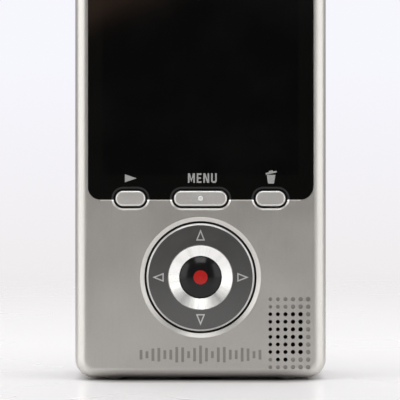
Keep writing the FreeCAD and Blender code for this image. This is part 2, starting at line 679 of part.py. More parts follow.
def pad_gimbal():
    """The ring behind the pad: level pins turn in the carrier, upright pins turn in the pad's lugs."""
    ring = rod("gimbal_ring", "Y", ("0", "gimbal_level - gimbal_thick / 2", "pad_level"),
               "gimbal_outer", "gimbal_thick")
    level_pin = rod("gimbal_level_pin", "X", ("-gimbal_reach", "gimbal_level", "pad_level"),
                    "gimbal_pin_radius", "2 * gimbal_reach")
    upright_pin = rod("gimbal_upright_pin", "Z", ("0", "gimbal_level", "pad_level - gimbal_reach"),
                      "gimbal_pin_radius", "2 * gimbal_reach")
    middle = rod("gimbal_middle", "Y", ("0", "gimbal_level - 2", "pad_level"), "gimbal_inner", "4")
    keep(cut("pad_gimbal", fuse("gimbal_solid", [ring, level_pin, upright_pin]), [middle]),
         "pad_gimbal")
    outer = rod("carrier_disc", "Y", ("0", "gimbal_level", "pad_level"), "pad_hole_radius + 0.5",
                "carrier_thick")
    inner = rod("carrier_middle", "Y", ("0", "gimbal_level - 1", "pad_level"), "carrier_inner", "3")
    arms = []
    bores = []
    for side in (-1, 1):
        arms.append(block(f"carrier_arm_{side + 1}",
                          side_span(side, "carrier_arm_start", "carrier_arm_end"),
                          ("gimbal_level - 0.52", "gimbal_level + carrier_thick"),
                          ("pad_level - lug_half_width", "pad_level + lug_half_width")))
        bores.append(rod(f"carrier_bore_{side + 1}", "X",
                         (f"{side} * 8 - 1.4", "gimbal_level", "pad_level"),
                         "gimbal_pin_radius + gimbal_bore_gap", "2.3"))
    ring = cut("carrier_ring", outer, [inner])
    keep(cut("pad_carrier", fuse("carrier_solid", [ring] + arms), bores), "pad_carrier")


def crown_arc(tip, height, reach, outer, inner):
    """Part of a domed outline in the (radius, depth) plane.

    The dome's tip is on the axis at depth tip, and its height is reached at radius reach. A negative
    height is a dome that points towards +Y. The arc runs from radius outer to radius inner.
    """
    dome = (reach ** 2 + height ** 2) / (2 * height)

    def at(radius):
        depth = tip + dome - math.copysign(math.sqrt(dome ** 2 - radius ** 2), dome)
        return Vector(radius, depth, 0)

    return Part.Arc(at(outer), at((outer + inner) / 2), at(inner)).toShape()


def turned_profile(label, arc, corners, z):
    """A sub-part turned about Y from an arc, closed by straight lines through the corners."""
    start, end = arc.Vertexes[-1].Point, arc.Vertexes[0].Point
    points = [start] + [Vector(x, y, 0) for x, y in corners] + [end]
    lines = [Part.makeLine(points[index], points[index + 1]) for index in range(len(points) - 1)]
    item = doc.addObject("Part::Feature", label + "_turned")
    item.Shape = Part.Face(Part.Wire([arc] + lines)).revolve(Vector(0, 0, 0), Vector(0, 1, 0), 360)
    place(item, "0", "0", z)
    return keep(item, label)


def record_button():
    """A domed key in the middle of the pad with a red insert. Both share one dome."""
    tip = value("front_face - record_proud")
    height = value("record_proud + record_edge_depth")
    radius, dot_radius = value("record_radius"), value("dot_radius")
    seat = value("front_face + 0.4")
    flange_front, flange_back = value("pad_back + 0.3"), value("pad_back + 0.8")
    stem_end = value("membrane_front - 0.5")
    stem, flange = value("record_stem_radius"), value("record_radius + record_flange")
    turned_profile(
        "record_button", crown_arc(tip, height, radius, radius, dot_radius),
        [(dot_radius, seat), (0, seat), (0, stem_end), (stem, stem_end), (stem, flange_back),
         (flange, flange_back), (flange, flange_front), (radius, flange_front)],
        "pad_level")
    turned_profile("record_dot", crown_arc(tip, height, radius, dot_radius, 0),
                   [(0, seat), (dot_radius, seat)], "pad_level")


def switch_spots():
    """Where the eight dome switches sit: three keys, four pad directions and record."""
    spots = [(f"{index} * key_spacing", "key_level") for index in (-1, 0, 1)]
    spots += [("0", "pad_level"), ("8", "pad_level"), ("-8", "pad_level")]
    spots += [("0", "pad_level + 9.5"), ("0", "pad_level - 9.5")]
    return spots


def keypad_layer(name, front, back):
    """A flat layer behind the keys: narrow behind the pad and wider behind the three keys."""
    depth = (front, back)
    low = block(name + "_low", ("-keypad_low_half_width", "keypad_low_half_width"), depth,
                ("keypad_bottom", "keypad_step"))
    high = block(name + "_high", ("-keypad_high_half_width", "keypad_high_half_width"), depth,
                 ("keypad_step", "keypad_top"))
    return fuse(name, [low, high])


def key_boards():
    """The rubber membrane with its hollows, the dome switches in them and the board behind."""
    board_side = "membrane_front + membrane_thick"
    keep(keypad_layer("key_board", board_side, board_side + " + key_board_thick"), "key_board")
    hollows = []
    domes = []
    for number, (x, z) in enumerate(switch_spots()):
        hollows.append(rod(f"membrane_hollow_{number}", "Y", (x, "membrane_front + membrane_skin", z),
                           "hollow_radius", "1"))
        domes.append(rod(f"dome_switch_{number}", "Y", (x, board_side + " - dome_thick", z),
                         "dome_radius", "dome_thick"))
    sheet_layer = keypad_layer("membrane_sheet", "membrane_front", board_side)
    keep(cut("keypad_membrane", sheet_layer, hollows), "keypad_membrane")
    keep(group("dome_switches", domes), "dome_switches")


# ---------------------------------------------------------------- boards and speaker

def main_board():
    """The main board and the chips on its back."""
    back = "board_front + board_thick"
    plate = block("board_plate", ("-board_half_width", "board_half_width"), ("board_front", back),
                  ("board_bottom", "board_top"))
    holes = [rod(f"board_hole_{side + 1}", "Y", (f"{side} * screw_x", "board_front - 1",
                                               "low_screw_z"), "post_radius + 0.2", "4")
             for side in (-1, 1)]
    keep(cut("main_board", plate, holes), "main_board")
    chips = []
    for name, x, z, wide, tall, thick in (
            ("processor", -1, 78, 12, 12, 1.2), ("memory", -12, 84, 8, 11, 1.0),
            ("converter", 10, 56, 7, 7, 1.0), ("regulator", -14, 12, 6, 5, 1.4),
            ("inductor", -6, 12, 4, 4, 2.0)):
        chips.append(block(f"chip_{name}", (f"{x} - {wide} / 2", f"{x} + {wide} / 2"),
                           (back, f"{back} + {thick}"), (f"{z} - {tall} / 2", f"{z} + {tall} / 2")))
    keep(group("board_chips", chips), "board_chips")


def speaker():
    """The dust cloth, frame and cone of the speaker behind the hole grid."""
    front = "front_face + front_wall"
    left, right = "speaker_x - speaker_width / 2", "speaker_x + speaker_width / 2"
    low, high = "speaker_z - speaker_height / 2", "speaker_z + speaker_height / 2"
    keep(block("speaker_cloth", (left + " + 0.8", right + " - 0.8"), (front, front + " + cloth_thick"),
               (low + " + 0.3", high + " - 0.2")), "speaker_cloth")
    frame = block("speaker_block", (left, right), (front + " + cloth_thick", front + " + speaker_depth"),
                  (low, high))
    corner = rounded("speaker_block_rounded", frame, ((along_y, "1.5"),))
    well = block("speaker_well", (left + " + 1", right + " - 1"), (front, front + " + speaker_well"),
                 (low + " + 1", high + " - 1"))
    keep(cut("speaker_frame", corner, [well]), "speaker_frame")
    cone = block("cone_block", (left + " + 1.2", right + " - 1.2"),
                 (front + " + cone_front", front + " + speaker_well"),
                 (low + " + 1.2", high + " - 1.2"))
    keep(rounded("speaker_cone", cone, ((along_y, "2.5"),)), "speaker_cone")


# ---------------------------------------------------------------- batteries

def battery(label, side, low, nub_up):
    """One AA cell: a can with a raised contact at one end."""
    points = [("0", "0"), ("cell_radius - cell_shoulder", "0"), ("cell_radius", "cell_shoulder"),
              ("cell_radius", "cell_length - cell_nub - cell_shoulder"),
              ("cell_radius - cell_shoulder", "cell_length - cell_nub"),
              ("cell_nub_radius", "cell_length - cell_nub"), ("cell_nub_radius", "cell_length"),
              ("0", "cell_length")]
    if not nub_up:
        points = [(radius, f"cell_length - ({height})") for radius, height in points]
    keep(turned(label, points, f"{side} * cell_spacing", "cell_depth", low, axis="Z"), label)


def spring(name, side, low):
    """A contact spring: three flat turns that narrow upwards, each joined to the next by a riser."""
    pieces = []
    for step in range(3):
        reach = f"spring_radius - {step} * spring_wire"
        level = f"{low} + {step} * spring_pitch"
        centre = (f"{side} * cell_spacing", "cell_depth", level)
        outer = rod(f"{name}_turn_{step}_outer", "Z", centre, reach, "spring_wire")
        inner = rod(f"{name}_turn_{step}_inner", "Z", centre, f"{reach} - spring_wire", "spring_wire")
        pieces.append(cut(f"{name}_turn_{step}", outer, [inner]))
        if step:
            edge = f"{side} * cell_spacing + {reach}"
            pieces.append(block(f"{name}_riser_{step}", (f"{edge} - spring_wire", f"{edge} + spring_wire"),
                                ("cell_depth - 0.2", "cell_depth + 0.2"),
                                (f"{level} - spring_pitch", f"{level} + spring_wire")))
    return fuse(name, pieces)


def battery_bay():
    """The open tray with its two cells, four contact plates and two springs."""
    outer = block("tray_block",
                  ("-bay_half_width - bay_wall", "bay_half_width + bay_wall"),
                  ("bay_front - bay_wall", "bay_rear"),
                  ("bay_bottom - bay_wall", "bay_top + bay_wall"))
    inner = block("tray_hollow", ("-bay_half_width", "bay_half_width"), ("bay_front", "bay_rear + 1"),
                  ("bay_bottom", "bay_top"))
    keep(cut("battery_tray", outer, [inner]), "battery_tray")
    battery("battery_left", -1, "bay_bottom + 2.2", True)
    battery("battery_right", 1, "bay_bottom + 0.5", False)
    contacts = []
    for side, low, high in ((-1, "bay_top - 0.5", "bay_top"), (1, "bay_bottom", "bay_bottom + 0.5"),
                            (-1, "bay_bottom", "bay_bottom + 0.3"), (1, "bay_top - 0.3", "bay_top")):
        contacts.append(block(
            f"contact_{len(contacts)}", (f"{side} * cell_spacing - contact_reach",
                                         f"{side} * cell_spacing + contact_reach"),
            ("cell_depth - contact_reach", "cell_depth + contact_reach"), (low, high)))
    keep(group("battery_contacts", contacts), "battery_contacts")
    keep(group("battery_springs", [
        spring("spring_low", -1, "bay_bottom + 0.35"),
        spring("spring_high", 1, "bay_top - 2.1")]), "battery_springs")


def cover_rod(name, radius, tail):
    """A rod on the battery cover's hinge axis that runs past both ends of the cover."""
    return rod(name, "X", (f"-cover_half_width - {tail}", "cover_pin_y", "cover_pin_z"), radius,
               f"2 * (cover_half_width + {tail})")


def battery_cover():
    """The hinged battery cover and its pin."""
    plate = block("cover_plate", ("-cover_half_width", "cover_half_width"),
                  ("rear_face - cover_thick", "rear_face"), ("cover_bottom", "cover_top"))
    smooth = rounded("cover_plate_rounded", plate, (
        (lambda run, middle: along_y(run, middle) and middle.z > value("cover_top") - 0.1,
         "cover_corner"),))
    barrel = cover_rod("cover_barrel", "cover_barrel_radius", "0")
    neck = block("cover_neck", ("-cover_half_width", "cover_half_width"),
                 ("rear_face - cover_thick", "cover_pin_y + cover_barrel_radius"),
                 ("cover_pin_z", "cover_bottom + 0.2"))
    bore = cover_rod("cover_bore", "cover_pin_radius + 0.05", "1")
    ribs = [block(f"cover_rib_{number}", ("-rib_half_width", "rib_half_width"),
                  ("rear_face - 0.3", "rear_face + 1"),
                  (f"cover_top - 5 - {number} * rib_pitch",
                   f"cover_top - 5 + rib_width - {number} * rib_pitch"))
            for number in range(4)]
    keep(cut("battery_cover", fuse("cover_solid", [smooth, barrel, neck]), [bore] + ribs),
         "battery_cover")
    keep(cover_rod("cover_pin", "cover_pin_radius", "cover_pin_tail"), "cover_pin")


# ---------------------------------------------------------------- side doors, card and sockets

def side_door(label, pin_label, side, low, high):
    """A flush door in the side of the case that swings on an upright pin at its rear edge."""
    plate = block(label + "_plate", side_span(side, "door_inner", "body_width / 2"),
                  ("door_front", "door_pin_y"), (low, high))
    barrel = rod(label + "_barrel", "Z", (f"{side} * door_pin_x", "door_pin_y", low),
                 "door_barrel_radius", f"{high} - {low}")
    bore = rod(label + "_pin_bore", "Z", (f"{side} * door_pin_x", "door_pin_y", f"{low} - 1"),
               "door_pin_radius + 0.05", f"{high} - {low} + 2")
    grip = block(label + "_grip", side_span(side, "body_width / 2 - grip_depth", "body_width / 2 + 1"),
                 ("door_front - 1", "door_front + 0.8"),
                 (f"({low} + {high}) / 2 - grip_half_height",
                  f"({low} + {high}) / 2 + grip_half_height"))
    keep(cut(label, fuse(label + "_solid", [plate, barrel]), [bore, grip]), label)
    keep(rod(pin_label, "Z", (f"{side} * door_pin_x", "door_pin_y", f"{low} - door_pin_tail"),
             "door_pin_radius", f"{high} - {low} + 2 * door_pin_tail"), pin_label)


def memory_card():
    """The memory card, keyed by one notched corner, and the socket that it slides in."""
    start = "card_outer_end - card_length"
    back = "card_front + card_thick"
    card = block("card_block", (start, "card_outer_end"), ("card_front", back),
                 ("card_low", "card_low + card_width"))
    notch = block("card_notch", (start + " - 1", start + " + card_notch"),
                  ("card_front - 1", back + " + 1"), ("card_low - 1", "card_low + card_notch"))
    keep(cut("memory_card", card, [notch]), "memory_card")
    shell = block("socket_block", (start + " - 1.8", "door_inner - 1.5"),
                  ("board_front + board_thick", "card_front + card_thick + 0.5"),
                  ("card_low - 0.8", "card_low + card_width + 0.8"))
    slot = block("socket_slot", (start + " - 1", "door_inner"),
                 ("card_front - card_gap", back + " + card_gap"),
                 ("card_low - card_edge_gap", "card_low + card_width + card_edge_gap"))
    keep(cut("card_socket", shell, [slot]), "card_socket")


def sockets():
    """Two round audio jacks and two flat ports, each with its mouth and contacts."""
    for side, label in ((1, "headphone_jack"), (-1, "line_in_jack")):
        start = "body_width / 2 - jack_depth" if side > 0 else "-body_width / 2"
        bore_start = "body_width / 2 - jack_depth + 1" if side > 0 else "-body_width / 2 - 1"
        barrel = rod(label + "_barrel", "X", (start, "jack_y", "jack_level"), "jack_radius",
                     "jack_depth")
        bore = rod(label + "_bore", "X", (bore_start, "jack_y", "jack_level"), "jack_bore",
                   "jack_depth")
        keep(cut(label, barrel, [bore]), label)
    front, back = "board_front + board_thick", "board_front + board_thick + port_thick"
    for label, low, tall, wall in (("usb_socket", "usb_low", "usb_height", "usb_wall"),
                                   ("av_socket", "av_low", "av_height", "av_wall")):
        outer = block(label + "_block",
                      ("-door_inner + port_inset", "-door_inner + port_inset + port_depth"),
                      (front, back), (low, f"{low} + {tall}"))
        inner = block(label + "_mouth", ("-door_inner", "-door_inner + port_depth - 1"),
                      (f"{front} + {wall}", f"{back} - {wall}"),
                      (f"{low} + {wall}", f"{low} + {tall} - {wall}"))
        tongue = block(label + "_tongue", ("-door_inner + 2", "-door_inner + port_depth"),
                       (f"{front} + 1.4", f"{front} + 1.4 + tongue_thick"),
                       (f"{low} + 1.6", f"{low} + {tall} - 1.6"))
        keep(fuse(label, [cut(label + "_shell", outer, [inner]), tongue]), label)


# ---------------------------------------------------------------- side controls

def switch_cutters(side, level, kind):
    """The shallow track and the slot of a slide switch, long enough for its knob and travel."""
    track = block(
        kind + "_track", side_span(side, "body_width / 2 - track_depth", "body_width / 2 + 1"),
        ("control_y - track_half_width", "control_y + track_half_width"),
        (f"{level} - {kind}_travel - {kind}_knob - 0.3", f"{level} + {kind}_travel + {kind}_knob + 0.3"))
    slot = block(
        kind + "_slot", side_span(side, "body_width / 2 - 3", "body_width / 2"),
        ("control_y - stem_half_width - stem_gap", "control_y + stem_half_width + stem_gap"),
        (f"{level} - {kind}_travel - 1.2", f"{level} + {kind}_travel + 1.2"))
    return [track, slot]


def slide_switch(label, base_label, side, level, half_knob, outer):
    """A ribbed slide knob with its stem, and the switch body it works on."""
    knob = block(label + "_knob", side_span(side, "body_width / 2 - knob_seat", outer),
                 ("control_y - knob_half_width", "control_y + knob_half_width"),
                 (f"{level} - {half_knob}", f"{level} + {half_knob}"))
    ribs = [block(f"{label}_rib_{number}", side_span(side, f"{outer} - 0.25", "body_width / 2 + 2"),
                  ("control_y - 2", "control_y + 2"),
                  (f"{level} + {number} * 0.9 - 0.2", f"{level} + {number} * 0.9 + 0.2"))
            for number in (-1, 0, 1)]
    stem = block(label + "_stem", side_span(side, "body_width / 2 - 2.6", "body_width / 2 - 0.6"),
                 ("control_y - stem_half_width", "control_y + stem_half_width"),
                 (f"{level} - 1", f"{level} + 1"))
    keep(cut(label, fuse(label + "_solid", [knob, stem]), ribs), label)
    keep(block(base_label, side_span(side, "body_width / 2 - 6.2", "body_width / 2 - 2.75"),
               ("board_front + board_thick", "board_front + board_thick + switch_base_height"),
               (f"{level} - 4.5", f"{level} + 4.5")), base_label)


def rocker_rod(name):
    """A rod on the axis of the volume rocker, as long as the rocker's pin."""
    return rod(name, "Y", ("-rocker_pivot_x", "control_y - rocker_pin_reach", "rocker_level"),
               "rocker_pin_radius", "2 * rocker_pin_reach")


def side_controls():
    """The power and gain slides, and the volume rocker with its pin and switches."""
    slide_switch("power_switch", "power_switch_base", 1, "power_level", "power_knob",
                 "body_width / 2 + control_proud")
    slide_switch("mic_gain_switch", "gain_switch_base", -1, "gain_level", "gain_knob",
                 "body_width / 2 - gain_sunk")
    ends = ("rocker_level - rocker_length / 2", "rocker_level + rocker_length / 2")
    cap = block("rocker_cap", ("-body_width / 2 - control_proud", "-body_width / 2 + 0.9"),
                ("control_y - rocker_half_width", "control_y + rocker_half_width"), ends)
    soft = rounded("rocker_cap_rounded", cap, (
        (lambda run, middle: abs(run.y) > 0.1 and middle.x < -value("body_width / 2"), "0.5"),))
    barrel = rod("rocker_barrel", "Y",
                 ("-rocker_pivot_x", "control_y - rocker_half_width", "rocker_level"),
                 "rocker_barrel", "2 * rocker_half_width")
    bore = rod("rocker_bore", "Y", ("-rocker_pivot_x", "control_y - 3", "rocker_level"),
               "rocker_bore", "6")
    dip_x = "-body_width / 2 - control_proud + rocker_dip_depth - rocker_dip_radius"
    dip = rod("rocker_dip", "Y", (dip_x, "control_y - 3", "rocker_level"), "rocker_dip_radius", "6")
    keep(cut("volume_rocker", fuse("rocker_solid", [soft, barrel]), [bore, dip]), "volume_rocker")
    keep(rocker_rod("rocker_pin"), "rocker_pin")
    keep(block("volume_switches", ("-body_width / 2 + 3.0", "-body_width / 2 + 5.4"),
               ("board_front + board_thick", "board_front + board_thick + port_thick"), ends),
         "volume_switches")


# ---------------------------------------------------------------- lens

def lens():
    """The bezel, the stepped barrel, the front glass and the sensor board behind them."""
    keep(turned("lens_bezel",
                [("barrel_radius + barrel_gap", "rear_face - 1.8"),
                 ("bezel_radius - bezel_lip", "rear_face - 1.8"),
                 ("bezel_radius - bezel_lip", "rear_face"), ("bezel_radius", "rear_face"),
                 ("bezel_radius", "rear_face + bezel_proud - 0.5"),
                 ("bezel_radius - 0.5", "rear_face + bezel_proud"),
                 ("barrel_radius + 1.1", "rear_face + bezel_proud"),
                 ("barrel_radius + barrel_gap", "rear_face + bezel_proud - 0.8")],
                z="lens_level"), "lens_bezel")
    keep(turned("lens_barrel",
                [("0", "sensor_back"), ("barrel_radius", "sensor_back"),
                 ("barrel_radius", "rear_face + 0.6"), ("barrel_radius - 0.6", "rear_face + 0.6"),
                 ("glass_radius", "rear_face - 0.5"), ("glass_radius", "rear_face - glass_seat"),
                 ("glass_radius - 0.8", "rear_face - 2.2"), ("glass_radius - 1.6", "8"), ("0", "8")],
                z="lens_level"), "lens_barrel")
    reach, base = value("glass_radius"), value("rear_face - glass_seat")
    turned_profile("lens_glass", crown_arc(base + 1.5, -1.0, reach, reach, 0),
                   [(0, base), (reach, base)], "lens_level")
    keep(block("sensor_board", ("-sensor_half_width", "sensor_half_width"),
               ("sensor_front", "sensor_back"),
               ("lens_level - sensor_half_width", "lens_level + sensor_half_width")), "sensor_board")


# ---------------------------------------------------------------- microphone head

def arch(name, inset, y_range, low):
    """A block with the arch outline of the head, smaller by an inset on its sides and top."""
    base = block(name + "_block",
                 (f"{inset} - head_half_width", f"head_half_width - {inset}"), y_range,
                 (low, f"head_top - {inset}"))
    return rounded(name + "_arch", base, (
        (lambda run, middle: along_y(run, middle) and middle.z > value("head_top") - 4,
         f"head_corner - {inset}"),))


def dome(name, inset, turn):
    """One half of the rounded head inside the arch, smaller by an inset on every outer side."""
    body = new_body(name, turn=turn)
    side = f"head_half_width - band_wall - grille_gap - {inset}"
    top = f"head_top - band_wall - grille_gap - {inset}"
    low = f"base_top - 3 * {inset}"
    block_feature = pad(
        body, name + "_pad",
        lambda sketch: outline(sketch, [(f"-({side})", low), (side, low), (side, top),
                                        (f"-({side})", top)]),
        f"grille_gap - {inset}", "grille_depth - grille_gap")
    arch_feature = fillet(body, block_feature, name + "_arch",
                          lambda run, middle: along_y(run, middle) and middle.z > value(top) - 0.1,
                          f"head_corner - band_wall - grille_gap - {inset}")
    fillet(body, arch_feature, name + "_dome",
           lambda run, middle: abs(run.y) < 0.01 and middle.z > value("base_top") + 1
           and middle.y < -2, f"grille_round - {inset}")
    return body


def mic_head():
    """The head's base, arched band, two grilles, crossed capsules and their holder."""
    base = block("mic_base_block", ("1 - head_half_width", "head_half_width - 1"),
                 ("0.2 - grille_depth", "grille_depth - 0.2"), ("body_top", "base_top"))
    corner = rounded("mic_base_rounded", base, (
        (lambda run, middle: abs(run.z) > 0.1, "base_corner"),))
    notches = [block(f"mic_base_notch_{side + 1}", side_span(side, "head_half_width - 2.3", "30"),
                     ("-band_half_depth - 0.1", "band_half_depth + 0.1"),
                     ("body_top - 1", "base_top + 1"))
               for side in (-1, 1)]
    keep(cut("mic_base", corner, notches), "mic_base")

    outer = arch("band_outer", "0", ("-band_half_depth", "band_half_depth"), "body_top")
    inner = arch("band_inner", "band_wall", ("-band_half_depth - 1", "band_half_depth + 1"),
                 "body_top - 1")
    band = cut("band", outer, [inner])
    keep(rounded("mic_frame", band, (
        (lambda run, middle: along_crown(run, middle, value("band_half_depth")),
         "band_edge"),)), "mic_frame")

    for side, label in ((-1, "mic_grille_front"), (1, "mic_grille_rear")):
        turn = Rotation(Vector(0, 0, 1), 0 if side < 0 else 180)
        outer = dome(label + "_outer", "0", turn)
        inner = dome(label + "_inner", "grille_wall", turn)
        keep(cut(label, outer, [inner]), label)

    rings = [block("holder_plate", ("-holder_half_width", "holder_half_width"), ("-4", "4"),
                   ("base_top", "base_top + holder_thick"))]
    bores = []
    for side, label in ((-1, "mic_capsule_left"), (1, "mic_capsule_right")):
        turn = Rotation(Vector(0, 0, 1), -45 * side) * AXIS_TURN["Y"]
        share = round(math.sin(math.radians(45)), 6)

        def capsule(name, radius, length, side=side, turn=turn):
            item = doc.addObject("Part::Cylinder", name)
            bind(item, Radius=radius, Height=length)
            place(item, f"{side} * (capsule_x - {share} * ({length}) / 2)",
                  f"capsule_y - {share} * ({length}) / 2", "capsule_level", turn=turn)
            return item

        body = capsule(label + "_can", "capsule_radius", "capsule_length")
        port = capsule(label + "_port", "capsule_radius - capsule_wall", "capsule_length + 2")
        core = capsule(label + "_core", "capsule_radius - capsule_wall", "capsule_length - 1")
        shell = cut(label + "_shell", body, [port])
        keep(fuse(label, [shell, core]), label)
        rings.append(capsule(f"holder_ring_{side + 1}", "capsule_radius + holder_wall", "4"))
        bores.append(capsule(f"holder_bore_{side + 1}", "capsule_radius", "8"))
        rings.append(rod(f"holder_post_{side + 1}", "Z",
                         (f"{side} * capsule_x", "capsule_y", "base_top"), "2",
                         "capsule_level - capsule_radius - base_top"))
    keep(cut("mic_holder", fuse("holder_solid", rings), bores), "mic_holder")


# ---------------------------------------------------------------- build and export

def check():
    """Stop if anything failed, so that no broken piece is written."""
    doc.recompute()
    problems = []
    for item in doc.Objects:
        if "Invalid" in item.State or "Error" in item.State:
            problems.append(f"{item.Label}: {item.State}")
    for item in sub_parts:
        if item.Shape.isNull() or not item.Shape.isValid() or not item.Shape.Solids:
            problems.append(f"{item.Label}: shape is empty or not valid")
    if problems:
        sys.exit("\n".join(problems))


def export():
    """Write one STEP file per sub-part and print where each one lies."""
    os.makedirs("parts", exist_ok=True)
    for item in sub_parts:
        item.Shape.exportStep(f"parts/{item.Label}.step")
        box = item.Shape.BoundBox
        print(f"{item.Label:22s} x {box.XMin:7.2f} {box.XMax:7.2f}  y {box.YMin:7.2f} {box.YMax:7.2f}"
              f"  z {box.ZMin:7.2f} {box.ZMax:7.2f}  solids {len(item.Shape.Solids)}")


front_shell()
rear_shell()
case_fasteners()
display()
keys()
direction_pad()
pad_gimbal()
record_button()
key_boards()
main_board()
speaker()
battery_bay()
battery_cover()
side_door("card_door", "card_door_pin", 1, "card_door_low", "card_door_high")
side_door("port_cover", "port_cover_pin", -1, "port_cover_low", "port_cover_high")
memory_card()
sockets()
side_controls()
lens()
mic_head()
check()
export()
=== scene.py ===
"""The looks of the hand-held recorder: a finish for every part, the woven microphone heads, the print on
the display window, the arrows on the direction pad, and the studio it is shown in."""
import functools
import math

import bmesh
import bpy
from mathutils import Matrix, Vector


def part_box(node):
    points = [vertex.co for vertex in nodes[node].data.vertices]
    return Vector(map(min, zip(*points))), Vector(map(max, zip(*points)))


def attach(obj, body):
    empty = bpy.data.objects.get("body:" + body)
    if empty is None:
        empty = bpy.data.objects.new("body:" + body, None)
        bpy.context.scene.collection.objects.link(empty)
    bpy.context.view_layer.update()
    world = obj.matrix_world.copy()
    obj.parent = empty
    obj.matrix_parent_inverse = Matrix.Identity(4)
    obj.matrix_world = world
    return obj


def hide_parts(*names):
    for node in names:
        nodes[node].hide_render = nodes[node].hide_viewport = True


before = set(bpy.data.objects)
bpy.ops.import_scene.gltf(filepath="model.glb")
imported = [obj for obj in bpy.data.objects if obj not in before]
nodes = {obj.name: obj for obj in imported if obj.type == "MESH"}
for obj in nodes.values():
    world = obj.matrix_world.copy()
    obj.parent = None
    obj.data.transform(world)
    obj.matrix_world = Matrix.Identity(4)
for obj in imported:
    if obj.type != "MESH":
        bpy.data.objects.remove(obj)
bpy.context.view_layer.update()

MM = 0.001
UNLIMITED = 900.0                                  # a box side this far out, in mm, is open


# ---------------------------------------------------------------- finishes

def add_node(tree, kind, inputs=(), **settings):
    """A shader node with its settings. Each input is a value, or a socket that it is linked from."""
    node = tree.nodes.new(kind)
    for name, value in settings.items():
        setattr(node, name, value)
    for key, value in dict(inputs).items():
        if isinstance(value, bpy.types.NodeSocket):
            tree.links.new(value, node.inputs[key])
        else:
            node.inputs[key].default_value = value
    return node


